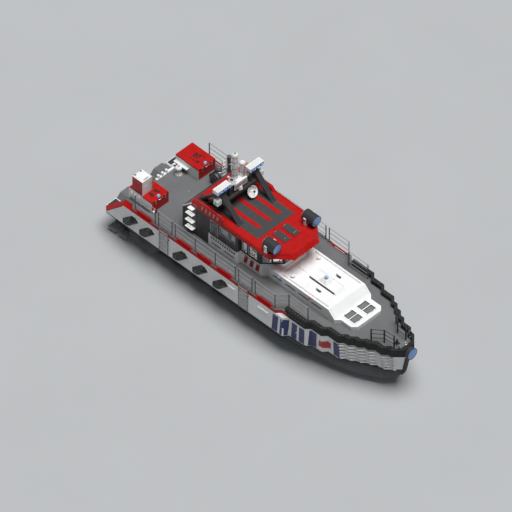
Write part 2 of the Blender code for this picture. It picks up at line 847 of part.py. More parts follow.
# The ladder on the aft wall and the exhaust stack beside it.
ladder_pieces = [
    tube("cabin_ladder", [(19.1, 4.8, DECK + GAP), (19.1, 4.8, 17.6)], 0.11),
    tube("ladder_rail", [(19.1, 5.9, DECK + GAP), (19.1, 5.9, 17.6)], 0.11),
]
for n in range(10):
    height = 7.9 + n * 1.0
    ladder_pieces.append(tube(f"ladder_rung_{n}", [(19.1, 4.8, height), (19.1, 5.9, height)], 0.09))
for height in (9.0, 12.0):
    for j in (4.8, 5.9):
        stay_line = [(19.1, j, height), (19.5 - GAP, j, height)]
        ladder_pieces.append(tube(f"ladder_stay_{height}_{j}", stay_line, 0.09))
paint(fused("cabin_ladder", ladder_pieces), WHITE, 0.5)

# The exhaust stack beside the ladder, on its own foot against the aft wall.
stack_pieces = [
    block("exhaust_stack", (18.5, 6.45, DECK + GAP), (19.5 - GAP, 7.45, 8.4)),
    drum("stack_pipe", (18.98, 6.95, 12.2), (0, 0, 1), 0.42, 8.8, 12),
    drum("stack_cap", (18.98, 6.95, 16.85), (0, 0, 1), 0.5, 0.7, 12),
]
paint(fused("exhaust_stack", stack_pieces), DARK, 0.7)

# Deck boxes
BOX_TOP = 10.0
LID_THICKNESS = 0.35
box_specs = [
    # label, side, start of the hinged lid
    ("starboard", -1, 9.5),
    ("port", 1, 5.4),
]
for label, side, lid_start in box_specs:
    inner = side * 4.5
    outer = side * 9.5
    right = min(inner, outer)
    left = max(inner, outer)
    chest = block(f"deck_box_{label}", (5.35, right, DECK + GAP), (12.3, left, BOX_TOP))
    if label == "port":
        shelf = block("box_shelf", (5.5, 3.7, 8.4), (9.5, inner + 0.1, 8.6))
        chest = fused("deck_box_port", [chest, shelf])
    hollow = block(
        f"box_hollow_{label}",
        (5.75, right + WALL, 7.4),
        (11.9, left - WALL, BOX_TOP - LID_THICKNESS - 0.2),
    )
    mouth = block(
        f"box_mouth_{label}",
        (max(lid_start, 5.75), right + WALL, 8.0),
        (11.9, left - WALL, BOX_TOP + 0.5),
    )
    seat = block(
        f"box_rebate_{label}",
        (lid_start if lid_start > 6 else 5.0, right - 0.5, BOX_TOP - LID_THICKNESS),
        (13.0, left + 0.5, BOX_TOP + 0.5),
    )
    cut(chest, [hollow, mouth, seat], "hollow")
    paint(chest, WHITE, 0.45)
    lid = block(
        f"box_lid_{label}",
        (max(lid_start, 5.35) + (SLACK if lid_start > 6 else 0.0), right, BOX_TOP - LID_THICKNESS + GAP),
        (12.3, left, BOX_TOP),
    )
    hung_at(lid, (8.8, outer, BOX_TOP - LID_THICKNESS + GAP))
    paint(lid, RED, 0.45)

# The raft locker stands on the fixed part of the starboard box.
locker = block("raft_locker", (6.4, -9.5, BOX_TOP + GAP), (9.4, -6.6, 13.6))
locker_hollow = block("locker_hollow", (6.7, -9.2, BOX_TOP + 0.3), (9.1, -6.9, 14.5))
cut(locker, [locker_hollow], "hollow")
paint(locker, RED, 0.45)
locker_lid = block("raft_locker_lid", (6.4, -9.5, 13.6 + GAP), (9.4, -6.6, 14.0))
hung_at(locker_lid, (6.4, -8.05, 13.6 + GAP))
paint(locker_lid, WHITE, 0.45)

# Mooring capstan by the port box.
CAPSTAN = (8.0, 2.8, DECK + GAP)
capstan = turned(
    "capstan",
    CAPSTAN,
    [
        (0.0, 2.3), (0.62, 2.24), (0.78, 1.95), (0.5, 1.5),
        (0.46, 0.7), (0.78, 0.15), (0.78, 0.0), (0.0, 0.0),
    ],
    16,
)
hung_at(smooth(capstan), CAPSTAN)
paint(capstan, WHITE, 0.4)

# Stern rollers along the aft edge of the deck, in one low frame.
roller_pieces = [block("stern_rollers", (5.6, -1.9, DECK + GAP), (6.2, 3.6, DECK + 0.25))]
for n, j in enumerate((-1.2, 0.0, 1.2)):
    roller_pieces.append(drum(f"roller_{n}", (5.9, j, DECK + 0.6), (0, 0, 1), 0.3, 0.9, 10))
paint(fused("stern_rollers", roller_pieces), WHITE, 0.4)

# Hose reel: a drum in a narrow frame on the port side of the aft deck.
REEL = (15.5, 6.35)
REEL_AXIS = 8.6
reel_pieces = [block("reel_frame", (14.3, 5.75, DECK + GAP), (16.7, 6.95, DECK + 0.12))]
for j in (5.82, 6.88):
    cheek = side_plate(
        f"reel_cheek_{j}",
        [(14.6, DECK + 0.05), (16.4, DECK + 0.05), (15.95, 9.1), (15.05, 9.1)],
        j - 0.07,
        j + 0.07,
    )
    reel_pieces.append(cheek)
reel_frame = fused("reel_frame", reel_pieces)
axle_hole = drum("axle_hole", (REEL[0], REEL[1], REEL_AXIS), (0, 1, 0), 0.2237, 5.0, 24)
cut(reel_frame, [axle_hole], "axle")
paint(reel_frame, DARK, 0.6)
reel_parts = [
    drum("reel_drum", (REEL[0], REEL[1], REEL_AXIS), (0, 1, 0), 1.1, 0.8, 20),
    drum("reel_flange_a", (REEL[0], REEL[1] - 0.38, REEL_AXIS), (0, 1, 0), 1.42, 0.1, 20),
    drum("reel_flange_b", (REEL[0], REEL[1] + 0.38, REEL_AXIS), (0, 1, 0), 1.42, 0.1, 20),
    drum("reel_axle", (REEL[0], REEL[1], REEL_AXIS), (0, 1, 0), 0.22, 1.3, 24),
]
reel_drum = fused("reel_drum", reel_parts)
hung_at(reel_drum, (REEL[0], REEL[1], REEL_AXIS))
paint(reel_drum, STEEL, 0.6)

# Mushroom vent outboard of the reel.
VENT_PROFILE = [
    (0.0, 3.5),
    (0.45, 3.42),
    (0.85, 3.0),
    (0.85, 2.3),
    (0.25, 2.1),
    (0.25, 0.2),
    (0.6, 0.0),
    (0.0, 0.0),
]
vent = turned("mushroom_vent", (14.8, 7.95, DECK + GAP), VENT_PROFILE, 12)
paint(smooth(vent), STEEL, 0.6)

# Mast arch over the aft part of the roof.
STRUTS = (
    [(22.6, ROOF_TOP + GAP), (27.4, 20.8), (27.4, 20.0), (23.4, ROOF_TOP + GAP)],
    [(24.5, ROOF_TOP + GAP), (27.5, 19.2), (27.9, 19.2), (24.95, ROOF_TOP + GAP)],
    [
        (34.3, ROOF_TOP + GAP), (29.1, 21.5), (27.2, 21.5),
        (27.2, 20.7), (28.8, 20.7), (33.7, ROOF_TOP + GAP),
    ],
    [(27.2, 19.2), (27.2, 21.0), (28.9, 21.0), (30.2, 19.6), (30.2, 19.2)],
)
arch_pieces = [block("mast_arch", (27.2, -5.6, 19.0), (29.9, 5.6, 19.7))]
for side in (-1, 1):
    for n, outline in enumerate(STRUTS):
        arch_pieces.append(side_plate(f"arch_strut_{side}_{n}", outline, side * 4.4, side * 5.65))
    near, far = sorted((side * 5.5, side * 6.9))
    arch_pieces.append(block(f"lamp_box_{side}", (28.2, near, 19.2), (29.4, far, 20.4)))
    near, far = sorted((side * 2.95, side * 3.35))
    arch_pieces.append(block(f"bar_stay_{side}", (29.0, near, 19.6), (29.4, far, 22.4 - GAP)))
paint(fused("mast_arch", arch_pieces), DARK, 0.6)

post_pieces = [
    block("mast_posts", (26.0, 0.7, 19.7 + GAP), (28.0, 4.3, 20.1)),
    drum("mast_post_a", (26.4, 1.3, 23.0), (0, 0, 1), 0.72, 6.4, 8),
    drum("mast_post_b", (26.4, 1.3, 26.6), (0, 0, 1), 0.72, 0.7, 8),
    drum("mast_cap", (26.4, 1.3, 27.15), (0, 0, 1), 0.72, 0.4, 8, 0.4),
    drum("mast_neck", (26.4, 1.3, 25.0), (0, 0, 1), 0.6, 4.0, 8),
    drum("mast_post_c", (27.0, 2.9, 21.9), (0, 0, 1), 0.62, 4.2, 8),
    drum("post_cap", (27.0, 2.9, 24.1), (0, 0, 1), 0.62, 0.3, 8, 0.35),
    block("mast_post_d", (27.0, 3.85, 19.9), (27.5, 4.25, 22.9)),
]
paint(fused("mast_posts", post_pieces), WHITE, 0.45)

for side, label in ((-1, "starboard"), (1, "port")):
    bar = block(
        f"light_bar_{label}",
        (27.9, min(side * 2.9, side * 6.9), 22.4),
        (29.5, max(side * 2.9, side * 6.9), 23.35),
    )
    post = block(
        f"bar_post_{label}",
        (27.7, min(side * 4.6, side * 5.4), 21.5 + GAP),
        (28.7, max(side * 4.6, side * 5.4), 22.6),
    )
    bar_pieces = [bar, post]
    if side < 0:
        # The siren stands at the inner end of the starboard light bar.
        bar_pieces.append(drum("siren", (28.7, -2.0, 22.95), (0, 0, 1), 0.95, 0.8, 12, 0.7))
    paint(fused(f"light_bar_{label}", bar_pieces), WHITE, 0.4)

# Radar: a turning unit and an upright scanner on it.
RADAR_FOOT = 19.7 + GAP
radar_pieces = [
    turned(
        "radar_scanner",
        (29.25, 0.0, RADAR_FOOT),
        [(0.0, 0.85), (0.4, 0.85), (0.6, 0.0), (0.0, 0.0)],
        16,
    ),
    block("scanner_bar", (29.05, -2.0, 20.45), (29.45, 2.0, 22.1)),
]
radar = fused("radar_scanner", radar_pieces)
hung_at(radar, (29.25, 0.0, RADAR_FOOT))
paint(radar, WHITE, 0.4)

# Dish on the roof: a shallow bowl on a pedestal.
DISH = (30.0, 2.6, 17.5)
bowl_profile = [(1.25, 0.55), (0.95, 0.2), (0.5, -0.05), (0.0, -0.15)]
bowl_profile += [(0.0, -0.4), (0.6, -0.3), (1.1, 0.0), (1.35, 0.5)]
bm = bmesh.new()
points = [bm.verts.new((radius * STEP, 0.0, height * STEP)) for radius, height in bowl_profile]
for first, second in zip(points, points[1:]):
    bm.edges.new((first, second))
bm.edges.new((points[-1], points[0]))
mesh = bpy.data.meshes.new("dish_profile")
bm.to_mesh(mesh)
bm.free()
bowl = bpy.data.objects.new("roof_dish", mesh)
vessel.objects.link(bowl)
screw = bowl.modifiers.new("turn", "SCREW")
screw.steps = 20
screw.render_steps = 20
screw.use_merge_vertices = True
screw.merge_threshold = 0.0001
bowl.rotation_euler = (0.0, math.radians(60.0), 0.0)
bowl.location = at(*DISH)
bowl = baked(bowl)
dish_pieces = [
    bowl,
    drum("dish_post", (29.9, 2.6, ROOF_TOP + GAP + 0.6), (0, 0, 1), 0.4, 1.2, 12),
    drum("dish_arm", (29.75, 2.6, 17.2), (0, 0, 1), 0.35, 0.8, 12),
]
dish = fused("roof_dish", dish_pieces)
hung_at(smooth(dish), (29.9, 2.6, ROOF_TOP + GAP))
paint(dish, WHITE, 0.4)

# Searchlights: a white yoke that turns on the roof, and a dark lamp that tilts in it.
LAMP_RADIUS = 1.33
LAMP_PIVOT = (44.1, 5.9, 17.65)
for side, label in ((-1, "starboard"), (1, "port")):
    i, j, k = LAMP_PIVOT
    j = side * j
    foot_top = ROOF_TOP + 0.12
    yoke_pieces = [
        drum(f"lamp_yoke_{label}", (i, j, ROOF_TOP + GAP + 0.06), (0, 0, 1), 0.6, 0.12, 12),
        block(f"yoke_foot_{label}", (i - 0.35, j - 1.5, ROOF_TOP + 0.05), (i + 0.35, j + 1.5, foot_top)),
    ]
    for turn in (-1, 1):
        near = j + turn * (LAMP_RADIUS + GAP)
        far = j + turn * 1.5
        yoke_pieces.append(
            block(
                f"yoke_arm_{label}_{turn}",
                (i - 0.35, min(near, far), ROOF_TOP + 0.05),
                (i + 0.35, max(near, far), k + 0.35),
            )
        )
    yoke = fused(f"lamp_yoke_{label}", yoke_pieces)
    hung_at(yoke, (i, j, ROOF_TOP + GAP))
    paint(yoke, WHITE, 0.45)
    lamp = drum(f"searchlight_{label}", (i + 0.55, j, k), (1, 0, 0), LAMP_RADIUS, 3.3, 20)
    hung_at(smooth(lamp), (i, j, k))
    paint(lamp, DARK, 0.5)

# The bow lamp is fixed in its seat, flush in the band and proud of the stem.
bow_lamp = drum("searchlight_bow", (80.1, 0.0, BOW_LAMP_AXIS), (1, 0, 0), BOW_LAMP_RADIUS, 1.6, 20)
paint(smooth(bow_lamp), DARK, 0.5)

# Rails, gates and side ladders
RUNS = (
    [(8.9, RAIL_LINE), (14.9, RAIL_LINE)],
    [(20.9, RAIL_LINE), (26.9, RAIL_LINE), (32.9, RAIL_LINE), (38.9, RAIL_LINE)],
    [(44.9, RAIL_LINE), (50.8, RAIL_LINE), (52.9, 9.0), (58.6, 9.0)],
)
GATES = ((15.9, 19.9), (39.9, 43.9))
SIDE_LADDERS = ((16.7, 19.3), (40.5, 43.1))
GATE_FOOT = DECK + 0.14 + GAP
FOOT_LINE = [
    (8.7, 11.25),
    (50.87, 11.25),
    (52.97, 9.15),
    (58.8, 9.15),
    (58.8, 8.85),
    (52.83, 8.85),
    (50.73, 10.95),
    (8.7, 10.95),
]
BOW_RUN = ((72.3, 3.75), (74.5, 2.0), (77.2, 1.75))


def railing(label, run, side, heights, foot, bar=BAR_RADIUS, post=POST_RADIUS):
    """Level bars along a run, with an upright at each of its points."""
    made = []
    for height in heights:
        made.append(tube(f"{label}_bar_{height}", [(i, side * j, height) for i, j in run], bar))
    for i, j in run:
        post_line = [(i, side * j, foot), (i, side * j, heights[-1] + 0.08)]
        made.append(tube(f"{label}_post_{i}", post_line, post))
    return made


for side, label in ((-1, "starboard"), (1, "port")):
    pieces = []
    for n, run in enumerate(RUNS):
        pieces += railing(f"run_{n}", run, side, RAIL_HEIGHTS, DECK + 0.05)
    # A flat foot bar ties the runs together along the deck.
    pieces.append(plate(f"foot_{label}", [(i, side * j) for i, j in FOOT_LINE], DECK + GAP, DECK + 0.14))
    for n, (start, end) in enumerate(SIDE_LADDERS):
        for i in (start, end):
            hang = [(i, side * 11.1, DECK + 0.15), (i, side * 11.75, DECK + 0.15), (i, side * 11.75, 0.8)]
            pieces.append(tube(f"ladder_side_{n}_{i}", hang, 0.08))
        for m in range(6):
            height = 1.0 + m * 1.15
            step = [(start, side * 11.75, height), (end, side * 11.75, height)]
            pieces.append(tube(f"ladder_step_{n}_{m}", step, 0.11))
    paint(fused(f"rails_{label}", pieces), STEEL, 0.5)
    for n, (start, end) in enumerate(GATES):
        run = ((start, RAIL_LINE), (end, RAIL_LINE))
        gate = fused(f"gate_{label}_{n + 1}", railing("gate", run, side, RAIL_HEIGHTS, GATE_FOOT))
        hung_at(gate, (start, side * RAIL_LINE, GATE_FOOT))
        paint(gate, STEEL, 0.5)
    parts = railing("bow", BOW_RUN, side, BOW_RAIL_HEIGHTS, DECK + GAP, BAR_RADIUS, 0.18)
    paint(fused(f"bow_rail_{label}", parts), DARK, 0.5)

# Bow bitts on the centreline.
bitts = [
    block("bow_bitts", (76.2, -0.9, DECK + GAP), (77.2, 0.1, DECK + 0.2)),
    drum("bitt_post", (76.7, -0.4, DECK + 0.6), (0, 0, 1), 0.28, 1.0, 12),
]
paint(fused("bow_bitts", bitts), WHITE, 0.5)

# Propellers and rudders
for side, label in ((-1, "starboard"), (1, "port")):
    hub = drum(f"propeller_{label}", (4.6, side * PROP_LINE, PROP_DEPTH), (1, 0, 0), 0.5, 1.0, 12)
    blades = [hub]
    for n in range(4):
        angle = n * math.pi / 2
        blade = loft(
            f"blade_{label}_{n}",
            [
                [(4.35, -0.45, 0.3), (4.5, -0.45, 0.3), (4.85, 0.45, 0.3), (4.7, 0.45, 0.3)],
                [(4.4, -0.6, 1.1), (4.5, -0.6, 1.1), (4.8, 0.6, 1.1), (4.7, 0.6, 1.1)],
                [(4.5, -0.3, 1.4), (4.58, -0.3, 1.4), (4.7, 0.3, 1.4), (4.62, 0.3, 1.4)],
            ],
        )
        centre = at(MIDSHIP, side * PROP_LINE, PROP_DEPTH)
        turn = Matrix.Translation(centre) @ Matrix.Rotation(angle, 4, "X")
        blade.data.transform(turn)
        blades.append(blade)
    screw_wheel = fused(f"propeller_{label}", blades)
    hung_at(screw_wheel, (4.6, side * PROP_LINE, PROP_DEPTH))
    paint(screw_wheel, (0.55, 0.42, 0.2), 0.35, 0.9)
    blade_rings = []
    for heel, nose, half, height in ((0.5, 2.5, 0.2, -4.6), (0.3, 2.7, 0.22, -2.0)):
        blade_rings.append([
            (heel, side * PROP_LINE - 0.08, height),
            (1.6, side * PROP_LINE - half, height),
            (nose, side * PROP_LINE, height),
            (1.6, side * PROP_LINE + half, height),
            (heel, side * PROP_LINE + 0.08, height),
        ])
    rudder = loft(f"rudder_{label}", blade_rings)
    stock = drum(f"stock_{label}", (1.6, side * PROP_LINE, -2.1 - GAP), (0, 0, 1), 0.2, 0.4, 12)
    rudder = fused(f"rudder_{label}", [rudder, stock])
    hung_at(rudder, (1.6, side * PROP_LINE, -1.9 - GAP))
    paint(rudder, DARK, 0.6)
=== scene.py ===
"""Looks of the search and rescue vessel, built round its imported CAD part."""

import math

import bmesh
import bpy
from mathutils import Matrix, Vector


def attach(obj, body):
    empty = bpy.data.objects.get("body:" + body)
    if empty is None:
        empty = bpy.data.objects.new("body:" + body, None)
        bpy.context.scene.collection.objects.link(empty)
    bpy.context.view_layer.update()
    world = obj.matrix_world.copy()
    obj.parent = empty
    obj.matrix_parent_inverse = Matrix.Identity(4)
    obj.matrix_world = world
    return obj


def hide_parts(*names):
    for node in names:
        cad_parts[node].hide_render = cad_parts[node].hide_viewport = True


bl_info = {
    "name": "Search and Rescue Vessel Looks",
    "version": (1, 0, 0),
    "blender": (4, 5, 0),
    "location": "3D View > Sidebar > Rescue Vessel",
    "description": "Dresses the packed rescue vessel with glass, lamps, deck gear, markings and finishes",
    "category": "Object",
}

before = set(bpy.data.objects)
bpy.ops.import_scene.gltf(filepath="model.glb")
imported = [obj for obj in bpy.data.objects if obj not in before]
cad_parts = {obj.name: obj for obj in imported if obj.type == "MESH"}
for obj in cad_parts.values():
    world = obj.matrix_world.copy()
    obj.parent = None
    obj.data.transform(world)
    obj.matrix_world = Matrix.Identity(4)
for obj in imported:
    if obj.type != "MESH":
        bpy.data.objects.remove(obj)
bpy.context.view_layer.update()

# The drawing's module in metres, and the module that stands over the frame's origin.
STEP = 0.25
MIDSHIP = 40.0
SIDES = ((-1, "starboard"), (1, "port"))

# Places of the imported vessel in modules: heights over the waterline, and halves of a breadth.
DECK = 7.0
HOUSE_TOP = 9.8
SILL, HIGH_SILL, HEAD = 11.1, 12.4, 14.65
ROOF = 16.0
ARCH_TOP = 19.7
HULL_HALF = 11.5
WALL_HALF = 7.5
FRONT_WALL_HALF = 6.5
HOUSE_HALF = 5.5
SHAFT_HALF, SHAFT_HEIGHT = 4.6, -3.25
BELT_RECESSES = (9.2, 21.2, 27.2, 33.2, 45.2)

# The picture's view, in metres: what it aims at, the way back to the eye and its breadth.
PICTURE_AIM = Vector((-1.5, 0.0, 0.7))
PICTURE_BACK = Vector((0.5, -0.5, math.sqrt(0.5)))
PICTURE_BREADTH = 27.153
EYE_DISTANCE = 60.0
FLOOR_HEIGHT = -1.33
FLOOR_HALF = 400.0

# Lights: a wide sun from almost straight above, a faint sky and a lamp under the wheelhouse roof.
KEY_STRENGTH = 3.25
KEY_SPREAD = math.radians(36.0)
KEY_WAY = Vector((0.18, 0.02, 1.0))
SKY_COLOUR = (0.92, 0.95, 1.0, 1.0)
SKY_STRENGTH = 0.075
CABIN_LIGHT_SIZE = (3.6, 2.6)
CABIN_LIGHT_WATTS = 150.0
CABIN_LIGHT_PLACE = (35.0, 0.0, 14.8)

# Faces that meet at a wider angle than this have a sharp edge between them.
SHARP = math.radians(38.0)


def at(i, j, k):
    """A point in metres from its place along, across and up in modules."""
    return Vector(((i - MIDSHIP) * STEP, j * STEP, k * STEP))


def add_node(tree, kind, given, **settings):
    """Add a node, set its properties and feed its inputs from sockets or plain values."""
    made = tree.nodes.new(kind)
    for name, value in settings.items():
        setattr(made, name, value)
    for name, value in given.items():
        if isinstance(value, bpy.types.NodeSocket):
            tree.links.new(value, made.inputs[name])
        else:
            made.inputs[name].default_value = value
    return made


def shade(colour, share, lift=0.0):
    """A colour that is darkened or lightened by a share."""
    return tuple(part * share + lift for part in colour)


# Shader building


class Shader:
    """Builds one finish: a principled shader with the nodes that drive it."""

    def __init__(self, name, colour, roughness=0.5, metallic=0.0, **sockets):
        material = bpy.data.materials.new(name)
        material.use_nodes = True
        material.diffuse_color = (*colour, 1.0)
        self.tree = material.node_tree
        self.surface = self.tree.nodes["Principled BSDF"]
        self.set("Base Color", (*colour, 1.0))
        self.set("Roughness", roughness)
        self.set("Metallic", metallic)
        for socket, value in sockets.items():
            self.set(socket.replace("_", " "), value)
        self.place = self.node("ShaderNodeTexCoord", {})
        self.spot = self.place.outputs["Object"]

    def set(self, socket, value):
        """Give a socket of the surface its value."""
        self.surface.inputs[socket].default_value = value

    def node(self, kind, given, **settings):
        """Add a node to this finish."""
        return add_node(self.tree, kind, given, **settings)

    def feed(self, socket, source):
        """Drive a socket of the surface from another socket."""
        self.tree.links.new(source, self.surface.inputs[socket])

    def math(self, operation, a, b=0.0):
        """A sum of two values, either of which may be a socket."""
        return self.node("ShaderNodeMath", {0: a, 1: b}, operation=operation).outputs[0]

    def noise(self, scale, detail=3.0, stretch=(1.0, 1.0, 1.0), rough=0.55):
        """A cloudy value about one half, of so many blotches a metre."""
        spot = self.node("ShaderNodeMapping", {"Vector": self.spot, "Scale": stretch}).outputs["Vector"]
        given = {"Vector": spot, "Scale": scale, "Detail": detail, "Roughness": rough}
        return self.node("ShaderNodeTexNoise", given).outputs["Fac"]

    def waves(self, way, scale, wander=0.0):
        """Even bands along a way."""
        given = {"Vector": self.spot, "Scale": scale, "Distortion": wander}
        return self.node("ShaderNodeTexWave", given, bands_direction=way).outputs["Fac"]

    def ramp(self, value, low, high, out_low=0.0, out_high=1.0, smooth=True):
        """Spread part of a value's range over another range."""
        given = {"Value": value, "From Min": low, "From Max": high, "To Min": out_low, "To Max": out_high}
        kind = "SMOOTHSTEP" if smooth else "LINEAR"
        return self.node("ShaderNodeMapRange", given, interpolation_type=kind).outputs["Result"]

    def axis(self, number, source=None):
        """One coordinate of the spot, or one part of its normal."""
        return self.node("ShaderNodeSeparateXYZ", {0: source or self.spot}).outputs[number]

    def inside(self, low, high, soft=0.004):
        """One inside a box given in modules, nought outside it; None leaves a side open."""
        mask = None
        shifts = (MIDSHIP, 0.0, 0.0)
        for number in range(3):
            value = self.axis(number)
            for limit, sign in ((low[number], 1), (high[number], -1)):
                if limit is None:
                    continue
                edge = (limit - shifts[number]) * STEP
                part = self.ramp(value, edge - soft, edge + soft, 0.0, 1.0, False)
                if sign < 0:
                    part = self.math("SUBTRACT", 1.0, part)
                mask = part if mask is None else self.math("MULTIPLY", mask, part)
        return mask

    def facing(self, number, sign, least=0.6):
        """One where the face looks along an axis, in the object's own frame."""
        value = self.axis(number, self.place.outputs["Normal"])
        return self.ramp(value, sign * (least - 0.02), sign * least, 0.0, 1.0, False)

    def mix(self, share, first, second, blend="MIX"):
        """Blend two colours, either of which may be a socket."""
        first, second = (value if isinstance(value, bpy.types.NodeSocket) else (*value[:3], 1.0)
                         for value in (first, second))
        given = {"Factor": share, 6: first, 7: second}
        return self.node("ShaderNodeMix", given, data_type="RGBA", blend_type=blend).outputs[2]

    def colour(self):
        """What feeds the base colour now."""
        socket = self.surface.inputs["Base Color"]
        if socket.is_linked:
            return socket.links[0].from_socket
        return tuple(socket.default_value)

    def over(self, share, colour):
        """Lay a colour over the finish where the share says."""
        self.feed("Base Color", self.mix(share, self.colour(), colour))

    def cloudy(self, scale, depth, stretch=(1.0, 1.0, 1.0)):
        """Darken and lighten the colour in soft patches."""
        value = self.ramp(self.noise(scale, 4.0, stretch), 0.3, 0.7, 1.0 - depth, 1.0, False)
        grey = self.node("ShaderNodeCombineColor", {number: value for number in range(3)})
        self.feed("Base Color", self.mix(1.0, self.colour(), grey.outputs[0], "MULTIPLY"))

    def sheen_spread(self, scale, low, high):
        """Let the roughness wander between two values."""
        self.feed("Roughness", self.ramp(self.noise(scale, 3.0), 0.35, 0.65, low, high))

    def bump(self, height, distance, strength=1.0):
        """Raise the surface by a value, on top of the bumps it has."""
        given = {"Strength": strength, "Distance": distance, "Height": height}
        for below in self.surface.inputs["Normal"].links:
            given["Normal"] = below.from_socket
        self.feed("Normal", self.node("ShaderNodeBump", given).outputs[0])

    def seams(self, along, up, width, size, depth, share=0.35, tone=(0.1, 0.1, 0.1)):
        """Thin weld lines of plates along one axis and up another."""
        spot = self.node("ShaderNodeCombineXYZ", {0: self.axis(along), 1: self.axis(up)}).outputs[0]
        line = self.node("ShaderNodeTexBrick", {
            "Vector": spot, "Scale": 1.0, "Mortar Size": width, "Mortar Smooth": 0.3,
            "Brick Width": size[0], "Row Height": size[1],
        }, offset=0.5).outputs["Fac"]
        self.over(self.math("MULTIPLY", line, share), tone)
        self.bump(self.math("SUBTRACT", 1.0, line), depth, 0.5)

    def streaks(self, depth, tone):
        """Faint runs of water down the upright faces."""
        runs = self.ramp(self.noise(3.2, 5.0, (1.0, 1.0, 0.07), 0.7), 0.5, 0.78)
        patches = self.ramp(self.noise(0.7, 2.0), 0.42, 0.62)
        self.over(self.math("MULTIPLY", self.math("MULTIPLY", runs, patches), depth), tone)

    def worn(self, scale, least, depth, tone):
        """Scattered chips and scuffs."""
        chips = self.ramp(self.noise(scale, 6.0, (1.0, 1.0, 1.0), 0.7), least, least + 0.04)
        self.over(self.math("MULTIPLY", chips, depth), tone)


def painted(name, colour, seams=None, roughness=0.46, dirt=0.12):
    """Marine enamel over plate: a little orange peel, water runs and small chips."""
    made = Shader(name, colour, roughness, 0.0, Specular_IOR_Level=0.28, Coat_Weight=0.05, Coat_Roughness=0.2)
    made.cloudy(0.8, 0.07)
    if seams:
        made.seams(*seams)
    made.streaks(dirt, (0.16, 0.13, 0.1))
    made.worn(9.0, 0.74, 0.35, (0.2, 0.19, 0.18))
    made.sheen_spread(2.5, roughness - 0.08, roughness + 0.14)
    made.bump(made.noise(38.0, 2.0), 0.0008, 0.35)
    return made


def gritty(name, colour, grit=0.35):
    """Non-slip coating: coarse grit, trodden paths and a few stains."""
    made = Shader(name, colour, 0.86)
    grain = made.noise(52.0, 2.0, (1.0, 1.0, 1.0), 0.8)
    made.over(made.math("MULTIPLY", made.ramp(grain, 0.56, 0.66), grit),
              shade(colour, 1.7, 0.02))
    made.over(made.math("MULTIPLY", made.ramp(grain, 0.44, 0.34), grit), shade(colour, 0.45))
    made.cloudy(0.9, 0.16)
    made.worn(2.6, 0.68, 0.4, shade(colour, 0.5))
    made.bump(grain, 0.003, 0.8)
    return made


def rubbery(name, colour, ribs=None):
    """Black fender rubber, greyed and scuffed by use."""
    made = Shader(name, colour, 0.72, 0.0, Specular_IOR_Level=0.35)
    made.cloudy(1.6, 0.3)
    made.worn(5.0, 0.62, 0.35, shade(colour, 2.6, 0.02))
    made.over(made.math("MULTIPLY", made.ramp(made.noise(14.0, 3.0, (0.25, 0.25, 1.0)), 0.6, 0.75), 0.3),
              shade(colour, 3.0, 0.02))
    if ribs is not None:
        made.bump(made.waves("Z", ribs, 0.4), 0.004, 0.5)
    made.bump(made.noise(30.0, 3.0), 0.0015, 0.6)
    return made


def brushed(name, colour, roughness=0.32, metallic=1.0, grain=(1.0, 0.08, 1.0)):
    """Stainless, bronze or alloy fittings with a fine drawn grain and dull spots."""
    made = Shader(name, colour, roughness, metallic)
    made.cloudy(5.0, 0.18)
    made.worn(16.0, 0.66, 0.5, shade(colour, 0.5))
    made.sheen_spread(7.0, roughness - 0.1, roughness + 0.2)
    made.bump(made.noise(90.0, 2.0, grain), 0.0004, 0.4)
    return made


def lens(name, colour, glow, rings=26.0):
    """A ribbed lamp lens, darker at its ribs."""
    made = Shader(name, colour, 0.12, 0.0, Coat_Weight=0.7, Coat_Roughness=0.04,
                  Emission_Color=(*colour, 1.0), Emission_Strength=glow)
    ribs = made.waves("Z", rings)
    made.over(made.ramp(ribs, 0.0, 0.5, 0.4, 0.0), shade(colour, 0.35))
    made.bump(ribs, 0.002, 0.6)
    return made


# Mesh building


def finish(name):
    """A finish that the first operator made."""
    return bpy.data.materials[name]


def placed(name, data):
    """Put a mesh, a light or a camera in the scene as an object."""
    made = bpy.data.objects.new(name, data)
    bpy.context.scene.collection.objects.link(made)
    return made


def rounded(made, width):
    """Round an object's sharp edges; the width is in modules."""
    rounding = made.modifiers.new("rounding", "BEVEL")
    rounding.width = width * STEP
    rounding.segments = 2
    rounding.limit_method = "ANGLE"
    rounding.angle_limit = math.radians(50.0)


